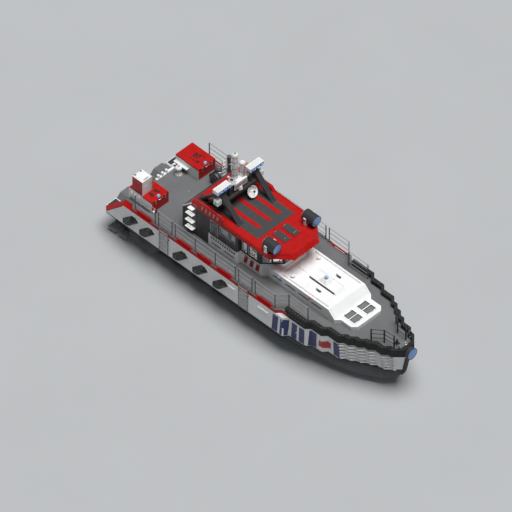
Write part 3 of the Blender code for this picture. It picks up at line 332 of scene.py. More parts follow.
class Pieces:
    """Collects shapes in one mesh; places are in modules."""

    def __init__(self, name):
        self.name = name
        self.bm = bmesh.new()
        self.finishes = []

    def use(self, name):
        """The slot number of a finish."""
        coat = finish(name)
        if coat not in self.finishes:
            self.finishes.append(coat)
        return self.finishes.index(coat)

    def skin(self, points, faces, coat, smooth=False):
        """Faces over points that are given in metres."""
        made = [self.bm.verts.new(point) for point in points]
        for face in faces:
            face = self.bm.faces.new([made[number] for number in face])
            face.material_index = self.use(coat)
            face.smooth = smooth

    def loft(self, rings, coat, smooth=False):
        """A closed skin over rings of the same number of points, in metres."""
        count = len(rings[0])
        points = [point for ring in rings for point in ring]
        faces = []
        for ring in range(len(rings) - 1):
            for n in range(count):
                m = (n + 1) % count
                faces.append((ring * count + n, ring * count + m, (ring + 1) * count + m,
                              (ring + 1) * count + n))
        faces.append(tuple(range(count))[::-1])
        faces.append(tuple((len(rings) - 1) * count + n for n in range(count)))
        self.skin(points, faces, coat, smooth)

    def box(self, low, high, coat):
        """An upright box between two corners."""
        ring = ((0, 0), (1, 0), (1, 1), (0, 1))
        corner = (low, high)
        self.loft([[at(corner[x][0], corner[y][1], level[2]) for x, y in ring] for level in corner], coat)

    def side_box(self, side, low, high, coat):
        """A box given for the port side, on the side that is asked for."""
        near, far = sorted((side * low[1], side * high[1]))
        self.box((low[0], near, low[2]), (high[0], far, high[2]), coat)

    def prism(self, outline, along, coat):
        """A flat outline of points, swept along a vector in modules."""
        foot = [at(*point) for point in outline]
        self.loft([foot, [point + Vector(along) * STEP for point in foot]], coat)

    def tube(self, points, radius, coat, sides=8, closed=False):
        """A round bar along points, with mitred corners."""
        spots = [at(*point) for point in points]
        count = len(spots)
        rings = []
        up = Vector((0.0, 0.0, 1.0))
        for n, spot in enumerate(spots):
            before = spots[n - 1] if n or closed else spot
            after = spots[(n + 1) % count] if n < count - 1 or closed else spot
            first = (spot - before).normalized()
            second = (after - spot).normalized()
            along = (first + second).normalized() if first.length and second.length else (first + second)
            along = along.normalized()
            if abs(along.dot(up)) > 0.95:
                up = Vector((1.0, 0.0, 0.0))
            across = along.cross(up).normalized()
            up = across.cross(along).normalized()
            stretch = 1.0
            if first.length and second.length:
                stretch = 1.0 / max(0.5, math.cos(first.angle(second) / 2.0))
            rings.append([
                spot + (across * math.cos(turn) * stretch + up * math.sin(turn)) * radius * STEP
                for turn in (2.0 * math.pi * m / sides for m in range(sides))
            ])
        if closed:
            points = [point for ring in rings for point in ring]
            faces = [
                (r * sides + m, r * sides + (m + 1) % sides,
                 (r + 1) % count * sides + (m + 1) % sides, (r + 1) % count * sides + m)
                for r in range(count) for m in range(sides)
            ]
            self.skin(points, faces, coat, True)
        else:
            self.loft(rings, coat, True)

    def turned(self, foot, axis, profile, coat, sides=20):
        """A closed profile of radius and height pairs, turned about an axis."""
        axis = Vector(axis).normalized()
        across = axis.orthogonal().normalized()
        other = axis.cross(across)
        foot = at(*foot)
        rings = []
        for radius, height in profile:
            radius = max(radius, 0.004)
            rings.append([
                foot + (axis * height + (across * math.cos(turn) + other * math.sin(turn)) * radius) * STEP
                for turn in (2.0 * math.pi * m / sides for m in range(sides))
            ])
        self.loft(rings, coat, True)

    def done(self, body, bevel=0.0):
        """Make the object, fix its normals and let it ride on its body."""
        bmesh.ops.recalc_face_normals(self.bm, faces=self.bm.faces)
        for edge in self.bm.edges:
            if len(edge.link_faces) == 2 and edge.calc_face_angle(0.0) > SHARP:
                edge.smooth = False
        mesh = bpy.data.meshes.new(self.name)
        self.bm.to_mesh(mesh)
        self.bm.free()
        for coat in self.finishes:
            mesh.materials.append(coat)
        made = placed(self.name, mesh)
        if bevel:
            rounded(made, bevel)
        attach(made, body)
        return made


# Geometry Nodes: like shapes set out along lines


def row_tree(shape):
    """A tree that sets one shape at even steps along every line it is given."""
    tree = bpy.data.node_groups.new(f"row_of_{shape}", "GeometryNodeTree")
    face = tree.interface
    face.new_socket("Geometry", in_out="INPUT", socket_type="NodeSocketGeometry")
    for name, kind, value in (
        ("Spacing", "NodeSocketFloat", 0.25),
        ("Length", "NodeSocketFloat", 0.05),
        ("Width", "NodeSocketFloat", 0.05),
        ("Height", "NodeSocketFloat", 0.02),
        ("Facing", "NodeSocketVector", (0.0, 0.0, 1.0)),
        ("Lean", "NodeSocketFloat", 0.0),
        ("Finish", "NodeSocketMaterial", None),
    ):
        socket = face.new_socket(name, in_out="INPUT", socket_type=kind)
        if value is not None:
            socket.default_value = value
    face.new_socket("Geometry", in_out="OUTPUT", socket_type="NodeSocketGeometry")
    given = tree.nodes.new("NodeGroupInput").outputs

    def new(kind, inputs, **settings):
        """Add a node and say what it puts out."""
        return add_node(tree, kind, inputs, **settings).outputs

    lines = new("GeometryNodeMeshToCurve", {"Mesh": given["Geometry"]})
    spaced = new("GeometryNodeResampleCurve", {"Curve": lines["Curve"], "Length": given["Spacing"]},
                 mode="LENGTH")
    size = new("ShaderNodeCombineXYZ", {0: given["Length"], 1: given["Width"], 2: given["Height"]})
    kind, measures = {
        "slat": ("GeometryNodeMeshCube", {"Size": (1.0, 1.0, 1.0)}),
        "bolt": ("GeometryNodeMeshCylinder", {"Vertices": 6, "Radius": 0.5, "Depth": 1.0}),
    }[shape]
    one = new(kind, measures)
    shaped = new("GeometryNodeTransform", {"Geometry": one["Mesh"], "Scale": size[0]})
    flat = new("GeometryNodeSetShadeSmooth", {"Geometry": shaped["Geometry"], "Shade Smooth": False})
    upright = new("FunctionNodeAlignRotationToVector", {"Vector": given["Facing"]}, axis="Z")
    tangent = new("GeometryNodeInputTangent", {})
    turned = new("FunctionNodeAlignRotationToVector",
                 {"Rotation": upright["Rotation"], "Vector": tangent["Tangent"]},
                 axis="X", pivot_axis="Z")
    tipped = new("FunctionNodeAxisAngleToRotation", {"Axis": (1.0, 0.0, 0.0), "Angle": given["Lean"]})
    both = new("FunctionNodeRotateRotation",
               {"Rotation": turned["Rotation"], "Rotate By": tipped["Rotation"]},
               rotation_space="LOCAL")
    set_out = new("GeometryNodeInstanceOnPoints", {
        "Points": spaced["Curve"], "Instance": flat["Geometry"], "Rotation": both["Rotation"]})
    solid = new("GeometryNodeRealizeInstances", {"Geometry": set_out["Instances"]})
    coat = new("GeometryNodeSetMaterial", {"Geometry": solid["Geometry"], "Material": given["Finish"]})
    add_node(tree, "NodeGroupOutput", {"Geometry": coat["Geometry"]})
    return tree


def row(name, body, shape, lines, spacing, size, coat, facing=(0, 0, 1), lean=0.0, bevel=0.0):
    """Set bolts or slats along lines given in modules, and make them a plain mesh."""
    tree = bpy.data.node_groups.get(f"row_of_{shape}") or row_tree(shape)
    mesh = bpy.data.meshes.new(f"{name}_lines")
    points = []
    edges = []
    for line in lines:
        first = len(points)
        points += [at(*point) for point in line]
        edges += [(first + n, first + n + 1) for n in range(len(line) - 1)]
    mesh.from_pydata(points, edges, [])
    guide = placed(f"{name}_guide", mesh)
    nodes = guide.modifiers.new("row", "NODES")
    nodes.node_group = tree
    sockets = {item.name: item.identifier for item in tree.interface.items_tree if item.in_out == "INPUT"}
    for socket, value in zip(("Spacing", "Length", "Width", "Height"), (spacing, *size)):
        nodes[sockets[socket]] = value * STEP
    nodes[sockets["Facing"]] = tuple(float(value) for value in facing)
    nodes[sockets["Lean"]] = math.radians(lean)
    nodes[sockets["Finish"]] = finish(coat)
    seen = guide.evaluated_get(bpy.context.evaluated_depsgraph_get())
    plain = bpy.data.meshes.new_from_object(seen)
    plain.name = name
    bpy.data.objects.remove(guide)
    bpy.data.meshes.remove(mesh)
    made = placed(name, plain)
    if bevel:
        rounded(made, bevel)
    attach(made, body)


def bolt_row(name, lines, spacing, facing=(0, 0, 1), height=0.05):
    """Set steel bolt heads along lines on the hull; in modules."""
    size = bpy.context.scene.rescue_sizes.bolt / STEP
    row(name, "hull", "bolt", lines, spacing, (size, size, height), "bolt_steel", facing)


# The hull's outline over the paint line, in modules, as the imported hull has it.
LOW_SIDE = ((5.5, 11.5), (53.3, 11.5), (54.3, 10.4), (59.0, 10.0), (60.0, 8.96), (63.0, 8.82), (64.0, 7.77),
            (67.0, 7.63), (68.0, 6.59), (69.0, 6.54), (70.0, 5.5), (71.0, 5.45), (72.0, 4.4), (73.0, 4.35),
            (74.0, 3.3), (76.0, 3.2), (77.0, 2.2), (78.0, 1.9), (78.4, 0.6))
HIGH_SIDE = ((5.5, 11.5), (53.3, 11.5), (54.3, 10.5), (59.0, 10.39), (60.0, 9.38), (63.0, 9.35), (64.0, 8.34),
             (67.0, 8.31), (68.0, 7.3), (69.0, 7.29), (70.0, 6.28), (71.0, 6.26), (72.0, 5.26), (73.0, 5.25),
             (74.0, 4.24), (76.0, 4.22), (77.0, 3.2), (78.0, 3.18), (79.6, 1.2))


def hull_side(i, k):
    """Half the hull's breadth at a place along it and a height over the paint line."""
    def read(table):
        for (i0, j0), (i1, j1) in zip(table, table[1:]):
            if i <= i1:
                return j0 + (j1 - j0) * (i - i0) / (i1 - i0)
        return table[-1][1]
    share = max(0.0, min(1.0, (k - 0.4) / 5.6))
    return read(LOW_SIDE) * (1.0 - share) + read(HIGH_SIDE) * share


class VesselColours(bpy.types.PropertyGroup):
    """Colours that a user would change."""

    red: bpy.props.FloatVectorProperty(
        name="Red enamel", description="Belt, roof and box lids", default=(0.485, 0.004, 0.003),
        min=0.0, max=1.0, size=3, subtype="COLOR")
    white: bpy.props.FloatVectorProperty(
        name="White enamel", description="Topsides, house and lamps", default=(0.86, 0.865, 0.86),
        min=0.0, max=1.0, size=3, subtype="COLOR")
    deck: bpy.props.FloatVectorProperty(
        name="Deck coating", description="Non-slip coating of the decks", default=(0.165, 0.168, 0.172),
        min=0.0, max=1.0, size=3, subtype="COLOR")
    dark: bpy.props.FloatVectorProperty(
        name="Dark coating", description="Upper walls, mast arch and roof plate",
        default=(0.062, 0.063, 0.066),
        min=0.0, max=1.0, size=3, subtype="COLOR")
    bottom: bpy.props.FloatVectorProperty(
        name="Bottom paint", description="Under the waterline", default=(0.045, 0.046, 0.05),
        min=0.0, max=1.0, size=3, subtype="COLOR")
    lamp: bpy.props.FloatVectorProperty(
        name="Lamp blue", description="Lenses of the blue lamps", default=(0.12, 0.36, 0.95),
        min=0.0, max=1.0, size=3, subtype="COLOR")
    mark: bpy.props.FloatVectorProperty(
        name="Marking blue", description="Bars and dashes on the hull and cabin", default=(0.008, 0.02, 0.14),
        min=0.0, max=1.0, size=3, subtype="COLOR")
    floor: bpy.props.FloatVectorProperty(
        name="Floor", description="The plain pale floor under the vessel", default=(0.50, 0.51, 0.52),
        min=0.0, max=1.0, size=3, subtype="COLOR")


class VesselSizes(bpy.types.PropertyGroup):
    """Sizes that a user would change."""

    bolt: bpy.props.FloatProperty(
        name="Bolt head", description="Across a bolt head", default=0.035, min=0.01, max=0.08, unit="LENGTH")
    pane: bpy.props.FloatProperty(
        name="Pane", description="Thickness of a window pane", default=0.014, min=0.006, max=0.03,
        unit="LENGTH")
    slat: bpy.props.FloatProperty(
        name="Louvre", description="Thickness of a louvre blade", default=0.048, min=0.01, max=0.1,
        unit="LENGTH")
    stripe: bpy.props.FloatProperty(
        name="Roof stripe", description="Width of a red stripe on the roof", default=0.25, min=0.1, max=0.5,
        unit="LENGTH")
    clearness: bpy.props.FloatProperty(
        name="Water", description="How opaque the sheet at the waterline is", default=0.045, min=0.0, max=1.0,
        subtype="FACTOR")


class RESCUE_OT_finishes(bpy.types.Operator):
    """Make every finish and put it on the CAD nodes"""

    bl_idname = "rescue.finishes"
    bl_label = "Finishes"

    def execute(self, context):
        colours = context.scene.rescue_colours
        white, red, deck, dark = (tuple(colours.white), tuple(colours.red), tuple(colours.deck),
                                  tuple(colours.dark))
        steel = (0.52, 0.53, 0.54)
        plates = (0, 2, 0.006, (1.5, 0.75), 0.004, 0.3, (0.25, 0.25, 0.26))

        # Topsides: white plates, rubber fenders and the grey tops of the stern housings.
        hull = painted("hull_enamel", white, plates, 0.44, 0.2)
        pads = hull.math("MAXIMUM", hull.inside((None, 11.54, None), (37.2, None, 5.3)),
                         hull.inside((None, None, None), (37.2, -11.54, 5.3)))
        scuffs = hull.ramp(hull.noise(4.0, 5.0), 0.4, 0.7)
        hull.over(pads, hull.mix(scuffs, (0.02, 0.02, 0.021), (0.055, 0.055, 0.056)))
        tops = hull.inside((None, -7.4, 0.97), (5.45, 7.4, None))
        grain = hull.noise(52.0, 2.0)
        hull.over(tops, hull.mix(hull.ramp(grain, 0.4, 0.62), shade(deck, 0.7),
                                 shade(deck, 1.3)))
        line = hull.inside((None, None, 0.38), (None, None, 0.62))
        hull.over(line, shade(deck, 0.3))
        hull.worn(3.0, 0.7, 0.3, (0.3, 0.27, 0.24))

        belt = painted("belt_enamel", red, (0, 2, 0.006, (3.0, 0.8), 0.003, 0.35, (0.08, 0.0, 0.0)), 0.5,
                       0.16)
        belt.over(belt.math("MULTIPLY", belt.facing(2, 1, 0.9),
                            belt.ramp(belt.noise(48.0), 0.52, 0.7, 0.0, 0.5)),
                  shade(red, 0.4))
        painted("cabin_white", white, (1, 2, 0.005, (1.0, 0.9), 0.003, 0.22, (0.3, 0.3, 0.3)), 0.34, 0.14)
        house = painted("house_white", tuple(min(0.97, c * 1.12) for c in white),
                        (0, 1, 0.006, (1.6, 1.25), 0.003, 0.3, (0.35, 0.35, 0.36)), 0.36, 0.12)
        tread = house.math("MULTIPLY", house.inside((46.8, -4.4, 9.7), (62.0, 4.4, None)),
                           house.facing(2, 1, 0.8))
        house.bump(house.math("MULTIPLY", tread, house.noise(60.0, 2.0)), 0.002, 0.7)
        house.over(house.math("MULTIPLY", tread, house.ramp(house.noise(60.0), 0.55, 0.7, 0.0, 0.22)),
                   (0.5, 0.5, 0.5))
        painted("fitting_white", tuple(min(0.97, c * 1.08) for c in white), None, 0.4, 0.08)
        painted("fitting_red", red, None, 0.5, 0.12)
        # The louvre finish glows faintly: painted light that lifts the shade the blades cast on each other.
        glowing_vane = painted("louvre_white_glow", white, None, 0.4, 0.06)
        glowing_vane.set("Emission Color", (*white, 1.0))
        glowing_vane.set("Emission Strength", 0.3)
        roof = painted("roof_enamel", red, (0, 1, 0.006, (1.75, 1.25), 0.003, 0.3, (0.1, 0.0, 0.0)), 0.52,
                       0.1)
        roof.over(roof.ramp(roof.noise(45.0), 0.56, 0.72, 0.0, 0.2), shade(red, 0.45))
        wall = painted("wall_dark", dark, (0, 2, 0.006, (0.9, 0.75), 0.004, 0.4, (0.015, 0.015, 0.015)), 0.42,
                       0.12)
        wall.cloudy(3.0, 0.2)
        frames = painted("frame_dark", shade(dark, 0.75), None, 0.48, 0.08)
        frames.worn(12.0, 0.68, 0.5, (0.2, 0.2, 0.2))
        gritty("deck_grit", deck)
        gritty("roof_grit", shade(dark, 0.95), 0.5)
        worn_lid = painted("lid_grit", red, None, 0.6, 0.1)
        worn_lid.over(worn_lid.ramp(worn_lid.noise(5.5, 3.0), 0.47, 0.5), (0.075, 0.012, 0.01))
        worn_lid.bump(worn_lid.noise(52.0, 2.0), 0.002, 0.6)
        bottom = Shader("bottom_coat", tuple(colours.bottom), 0.7)
        bottom.cloudy(1.1, 0.35)
        bottom.over(bottom.ramp(bottom.noise(2.2, 6.0, (0.4, 1.0, 1.0), 0.7), 0.56, 0.75, 0.0, 0.35),
                    (0.11, 0.115, 0.1))
        shafts = bottom.math("MULTIPLY", bottom.inside((None, -5.1, -3.75), (14.0, 5.1, -2.78)),
                             bottom.inside((None, None, None), (9.0, None, None)))
        bottom.over(shafts, (0.32, 0.3, 0.26))
        # The stern trim fins are lighter grey: painted light in place of the light the hull's shadow keeps
        # from them.
        for side in (-1, 1):
            near, far = sorted((side * 8.3, side * 11.1))
            bottom.over(bottom.inside((None, near, -4.4), (6.2, far, -4.0)), (0.19, 0.19, 0.195))
        growth = bottom.inside((None, None, -0.35), (None, None, 0.42), 0.03)
        bottom.over(bottom.math("MULTIPLY", growth, bottom.ramp(bottom.noise(9.0, 5.0), 0.4, 0.65, 0.0, 0.5)),
                    (0.06, 0.075, 0.045))
        bottom.bump(bottom.noise(18.0, 5.0), 0.004, 0.5)
        rubbery("band_rubber", (0.02, 0.02, 0.021), 2.2)
        rubbery("trim_rubber", (0.014, 0.014, 0.015))
        rubbery("mat_rubber", (0.05, 0.05, 0.052))
        rails = Shader("rail_alloy", (0.4, 0.41, 0.42), 0.45, 0.2)
        # Faces that look sideways are darker than faces that look up or down: painted shade.
        rails.over(rails.ramp(rails.math("ABSOLUTE", rails.axis(2, rails.place.outputs["Normal"])), 0.12, 0.3,
                              1.0, 0.0),
                   (0.13, 0.13, 0.135))
        # The foot strip is coated like the deck, and like the belt where it crosses a recess.
        rails.over(rails.inside((None, None, DECK - 0.1), (None, None, DECK + 0.2)), deck)
        for start in BELT_RECESSES:
            rails.over(rails.inside((start - 0.1, None, DECK - 0.1), (start + 5.1, None, DECK + 0.2)), red)
        rails.cloudy(3.0, 0.2)
        rails.worn(14.0, 0.66, 0.5, (0.16, 0.16, 0.17))
        rails.bump(rails.noise(60.0), 0.0006, 0.5)
        dim = Shader("bow_rail_dark", (0.05, 0.05, 0.053), 0.42, 0.3)
        dim.cloudy(3.0, 0.3)
        dim.worn(10.0, 0.66, 0.6, (0.3, 0.3, 0.31))
        dim.bump(dim.noise(60.0), 0.0006, 0.5)
        brushed("bolt_steel", (0.5, 0.51, 0.52), 0.35)
        brushed("fitting_steel", steel, 0.34, 0.9)
        brushed("dull_steel", (0.2, 0.2, 0.21), 0.5, 0.7)
        brushed("propeller_bronze", (0.48, 0.3, 0.12), 0.33)
        zinc = Shader("anode_zinc", (0.36, 0.37, 0.38), 0.65, 0.5)
        zinc.cloudy(12.0, 0.5)
        zinc.bump(zinc.noise(35.0, 6.0), 0.004, 0.9)

        for name, tone, cover in (("window_glass", 0.36, 0.86), ("cabin_glass", 0.4, 0.3)):
            pane = Shader(name, (tone, tone * 1.03, tone * 1.06), 0.06, 0.0, Alpha=cover, Coat_Weight=0.4,
                          Coat_Roughness=0.04)
            pane.over(pane.ramp(pane.noise(1.3, 3.0, (1.0, 1.0, 2.4)), 0.42, 0.6, 0.0, 0.2),
                      (0.4, 0.43, 0.46))
            # Each pane is lighter towards its head: a painted highlight.
            head_highlight = pane.ramp(pane.axis(2), 12.9 * STEP, 14.4 * STEP)
            pane.over(pane.math("MULTIPLY", head_highlight, 0.3), (0.55, 0.58, 0.6))
            pane.bump(pane.noise(2.0, 2.0), 0.001, 0.2)
        smoked = Shader("skylight_glass", (0.26, 0.27, 0.28), 0.08, 0.0, Alpha=0.7, Coat_Weight=0.4)
        smoked.over(smoked.ramp(smoked.noise(3.0, 3.0), 0.4, 0.62, 0.0, 0.35), (0.36, 0.37, 0.38))
        smoked.bump(smoked.noise(2.5, 2.0), 0.001, 0.2)
        edge = Shader("window_frame", (0.55, 0.56, 0.57), 0.4, 0.4)
        edge.cloudy(6.0, 0.25)
        edge.worn(18.0, 0.66, 0.5, (0.2, 0.2, 0.2))
        edge.bump(edge.noise(70.0), 0.0005, 0.5)
        screen = Shader("instrument_screen", (0.012, 0.016, 0.02), 0.16, 0.0, Emission_Strength=0.7)
        grid = screen.node("ShaderNodeTexVoronoi", {"Vector": screen.spot, "Scale": 18.0},
                           feature="DISTANCE_TO_EDGE")
        trace = screen.ramp(grid.outputs["Distance"], 0.02, 0.06, 1.0, 0.0)
        screen.feed("Emission Color", screen.mix(trace, (0.0, 0.012, 0.02), (0.05, 0.4, 0.34)))
        for name, colour, glow in (
            ("lens_blue", tuple(colours.lamp), 0.12),
            ("lens_pale_blue", (0.28, 0.52, 0.86), 0.1),
            ("lens_red", (0.75, 0.03, 0.05), 0.15),
            ("lens_pink", (0.8, 0.2, 0.25), 0.12),
            ("lens_green", (0.03, 0.5, 0.12), 0.15),
            ("lens_amber", (0.85, 0.3, 0.03), 0.15),
        ):
            lens(name, colour, glow)
        beam = lens("lens_searchlight", (0.11, 0.27, 0.6), 0.04, 9.0)
        beam.over(beam.ramp(beam.noise(6.0, 2.0), 0.5, 0.66, 0.0, 0.25), (0.2, 0.4, 0.75))
        for name, colour, roughness in (
            ("mark_blue", tuple(colours.mark), 0.4),
            ("mark_red", red, 0.4),
            ("mark_black", (0.012, 0.012, 0.013), 0.45),
            ("mark_white", white, 0.4),
            ("mark_grey", (0.42, 0.3, 0.3), 0.5),
        ):
            film = Shader(name, colour, roughness)
            film.cloudy(4.0, 0.15)
            film.worn(22.0, 0.7, 0.5, (0.5, 0.5, 0.5) if name != "mark_white" else (0.3, 0.3, 0.3))
            film.bump(film.noise(50.0), 0.0004, 0.4)
        vinyl = Shader("seat_vinyl", (0.16, 0.1, 0.065), 0.55, 0.0, Sheen_Weight=0.15)
        cells = vinyl.node("ShaderNodeTexVoronoi", {"Vector": vinyl.spot, "Scale": 260.0})
        vinyl.cloudy(4.0, 0.3)
        vinyl.worn(8.0, 0.66, 0.4, (0.32, 0.22, 0.15))
        vinyl.bump(cells.outputs["Distance"], 0.001, 0.5)
        weave = Shader("belt_webbing", (0.02, 0.02, 0.022), 0.8)
        ribs = weave.waves("DIAGONAL", 60.0)
        weave.over(weave.ramp(ribs, 0.3, 0.7, 0.0, 0.4), (0.07, 0.07, 0.07))
        weave.bump(ribs, 0.002, 0.6)

        # Boxes on the aft deck: white sides, and red on their fore faces and rims.
        chest = painted("chest_enamel", white, None, 0.4, 0.22)
        chest.over(chest.facing(0, 1), red)
        chest.over(chest.math("MULTIPLY", chest.facing(2, 1),
                              chest.inside((None, None, 9.5), (None, None, None))), red)
        chest.worn(5.0, 0.7, 0.3, (0.25, 0.2, 0.17))
        locker = painted("locker_enamel", white, None, 0.4, 0.2)
        locker.over(locker.facing(1, -1), red)
        lid = painted("locker_lid_enamel", white, None, 0.4, 0.15)
        lid.over(lid.facing(1, -1), red)

        nodes = {
            "hull_enamel": "hull_topsides",
            "bottom_coat": "hull_bottom",
            "belt_enamel": "sheer_belt",
            "deck_grit": "weather_deck",
            "band_rubber": "bow_band",
            "cabin_white": "cabin_base cabin_door",
            "wall_dark": "cabin_upper",
            "roof_enamel": "wheelhouse_roof",
            "house_white": "foredeck_house skylight_starboard skylight_port",
            "fitting_white": "cabin_ladder stern_rollers mast_posts light_bar_starboard light_bar_port "
                             "radar_scanner roof_dish lamp_yoke_starboard lamp_yoke_port capstan",
            "fitting_red": "box_lid_starboard box_lid_port",
            "frame_dark": "mast_arch reel_frame searchlight_starboard searchlight_port searchlight_bow "
                          "helm_console",
            "dull_steel": "exhaust_stack mushroom_vent reel_drum",
            "chest_enamel": "deck_box_starboard deck_box_port",
            "locker_enamel": "raft_locker",
            "locker_lid_enamel": "raft_locker_lid",
            "rail_alloy": "rails_starboard rails_port gate_starboard_1 gate_starboard_2 gate_port_1 "
                          "gate_port_2",
            "bow_rail_dark": "bow_rail_starboard bow_rail_port bow_bitts",
            "propeller_bronze": "propeller_starboard propeller_port",
            "fitting_steel": "rudder_starboard rudder_port",
        }
        dressed = set()
        for name, list_of_nodes in nodes.items():
            for node in list_of_nodes.split():
                mesh_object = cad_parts[node]
                dressed.add(node)
                if not mesh_object.material_slots:
                    raise RuntimeError(f"{node} has no material slot")
                for slot in mesh_object.material_slots:
                    slot.link = "OBJECT"
                    slot.material = finish(name)
        left = set(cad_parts) - dressed - {"helm_seats"}
        if left:
            raise RuntimeError(f"nodes without a finish: {sorted(left)}")
        return {"FINISHED"}


def window(glass, trim, corners, out, depth, coat="window_glass"):
    """A pane inside an opening and a bright frame round its outer edge; places in modules."""
    out = Vector(out)
    inward = [Vector(point) - out * depth for point in corners]
    thick = bpy.context.scene.rescue_sizes.pane / STEP
    glass.prism(inward, out * thick, coat)
    trim.tube([Vector(point) + out * 0.02 for point in corners], 0.075, "window_frame", 6, True)


def upright(a, b, foot, head):
    """Four corners of an upright opening between two plan points."""
    return [(*a, foot), (*b, foot), (*b, head), (*a, head)]


class RESCUE_OT_glass(bpy.types.Operator):
    """Glaze the wheelhouse and the skylights, with gaskets, bolts and wipers"""

    bl_idname = "rescue.glass"
    bl_label = "Glass"

    def execute(self, context):
        glass = Pieces("window_panes")
        trim = Pieces("window_gaskets")
        bolts = []
        for side, label in SIDES:
            for start, end, out, foot in (
                (27.9, 30.1, WALL_HALF, SILL), (30.7, 33.2, WALL_HALF, HIGH_SILL),
                (33.7, 35.25, WALL_HALF, HIGH_SILL),
                (36.4, 37.85, FRONT_WALL_HALF, SILL), (38.35, 40.85, FRONT_WALL_HALF, SILL),
            ):
                coat = "window_glass" if out == WALL_HALF else "cabin_glass"
                corners = upright((start, side * out), (end, side * out), foot, HEAD)
                window(glass, trim, corners, (0, side, 0), 0.24, coat)
                bolts.append([(start, side * (out + 0.03), foot - 0.2),
                              (end, side * (out + 0.03), foot - 0.2)])
            unit = math.sqrt(0.5)
            for start, end in ((0.35, 2.2), (2.6, 4.5)):
                a, b = ((42.0 + unit * far, side * (FRONT_WALL_HALF - unit * far)) for far in (start, end))
                outward = Vector((unit, side * unit, 0))
                window(glass, trim, upright(a, b, SILL, HEAD), outward, 0.2, "cabin_glass")
                # A wiper hangs from the head of each corner window.
                pivot = Vector(((a[0] + b[0]) / 2, (a[1] + b[1]) / 2, 14.8)) + outward * 0.14
                tip = pivot + Vector((unit * 0.5, -side * unit * 0.5, -2.6))
                trim.tube([pivot, tip], 0.045, "trim_rubber", 6)
                blade = Vector((unit * 0.2, -side * unit * 0.2, 0.75))
                trim.tube([tip - blade, tip + blade], 0.06, "trim_rubber", 6)
                trim.turned(pivot - outward * 0.12, outward, [(0.16, 0.0), (0.16, 0.12), (0.1, 0.2)],
                            "fitting_steel", 10)
            window(glass, trim, upright((45.5, side * 0.25), (45.5, side * 2.6), SILL, HEAD), (1, 0, 0), 0.2,
                   "cabin_glass")
            # The aftmost side opening has a grille of level slats.
            row(f"grille_{label}", "hull", "slat", [[(28.5, side * 7.42, 11.55 + n * 0.6),
                (29.5, side * 7.42, 11.55 + n * 0.6)] for n in range(5)],
                1.0, (1.0, 0.3, 0.09), "fitting_steel", (0, 0, 1), side * 18.0, 0.02)
        glass.done("hull")
        trim.done("hull")
        for side, label in SIDES:
            lines = [line for line in bolts if line[0][1] * side > 0]
            bolt_row(f"window_bolts_{label}", lines, 0.55, (0, side, 0))
        for side, label in SIDES:
            panes = Pieces(f"skylight_panes_{label}")
            seals = Pieces(f"skylight_seals_{label}")
            near, far = sorted((side * 0.76, side * 3.19))
            for start, end in ((63.66, 64.94), (65.31, 66.69)):
                panes.box((start, near, 7.86), (end, far, 7.94), "skylight_glass")
                ring = [(start, near, 8.07), (end, near, 8.07), (end, far, 8.07), (start, far, 8.07)]
                seals.tube(ring, 0.06, "trim_rubber", 6, True)
            seals.box((66.72, side * 1.975 - 0.3, 8.06), (66.92, side * 1.975 + 0.3, 8.2), "fitting_steel")
            for j in (1.0, 2.95):
                seals.turned((63.5, side * j, 8.06), (0, 0, 1), [(0.14, 0.0), (0.14, 0.08), (0.07, 0.12)],
                             "fitting_steel", 10)
            panes.done(f"skylight_{label}", 0.01)
            seals.done(f"skylight_{label}", 0.015)
        return {"FINISHED"}


class RESCUE_OT_roof(bpy.types.Operator):
    """Lay the roof's non-slip plates and stripes, its hatches and edge trims"""

    bl_idname = "rescue.roof"
    bl_label = "Roof"

    def execute(self, context):
        plates = Pieces("roof_plates")
        top = ROOF
        half = context.scene.rescue_sizes.stripe / STEP / 2
        grit = "roof_grit"
        for low, high in (
            ((24.4, -5.5), (29.2, 5.5)), ((29.24, -5.5), (34.0, 1.95)), ((29.24, 3.25), (34.0, 5.5)),
            ((30.6, 1.99), (34.0, 3.21)), ((34.04, -5.5), (40.0, 5.5)),
        ):
            plates.box((*low, top + 0.004), (*high, top + 0.06), grit)
        plates.done("hull", 0.015)
        stripes = Pieces("roof_stripes")
        for j, start in ((-2.8, 28.0), (0.3, 28.0), (3.3, 30.7)):
            stripes.box((start, j - half, top + 0.061), (38.0, j + half, top + 0.085), "fitting_red")
        stripes.done("hull", 0.008)
        hatches = Pieces("roof_hatches")
        for side in (-1, 1):
            near, far = sorted((side * 0.4, side * 2.4))
            hatches.box((41.1, near, top + 0.004), (45.1, far, top + 0.1), "fitting_red")
            hatches.box((41.25, near + 0.14, top + 0.1), (44.95, far - 0.14, top + 0.2), grit)
            hatches.box((41.1, side * 1.4 - 0.3, top + 0.1), (41.24, side * 1.4 + 0.3, top + 0.24),
                        "fitting_steel")
            hatches.tube([(44.3, side * 1.0, top + 0.2), (44.3, side * 1.0, top + 0.42),
                          (44.3, side * 1.8, top + 0.42),
                          (44.3, side * 1.8, top + 0.2)], 0.05, "fitting_steel", 6)
            # A low gutter rail runs along the roof's edge, and a grab bar along each coaming.
            hatches.tube([(22.6, side * 7.3, top + 0.06), (44.3, side * 7.3, top + 0.06),
                          (48.1, side * 3.5, top + 0.06)],
                         0.07, "fitting_red", 6)
            bar = [(23.6, side * 7.15, 17.0), (23.6, side * 7.15, 17.35), (30.9, side * 7.15, 17.35),
                   (30.9, side * 7.15, 17.0)]
            hatches.tube(bar, 0.07, "rail_alloy", 8)
            for i in (26.0, 28.5):
                hatches.tube([(i, side * 7.15, 17.0), (i, side * 7.15, 17.35)], 0.06, "rail_alloy", 6)
        hatches.done("hull", 0.012)
        edge = top + 0.065
        bolt_row("roof_plate_bolts", [[(24.6, j, edge), (39.8, j, edge)] for j in (-5.3, 5.3)], 0.95,
                 height=0.04)
        return {"FINISHED"}


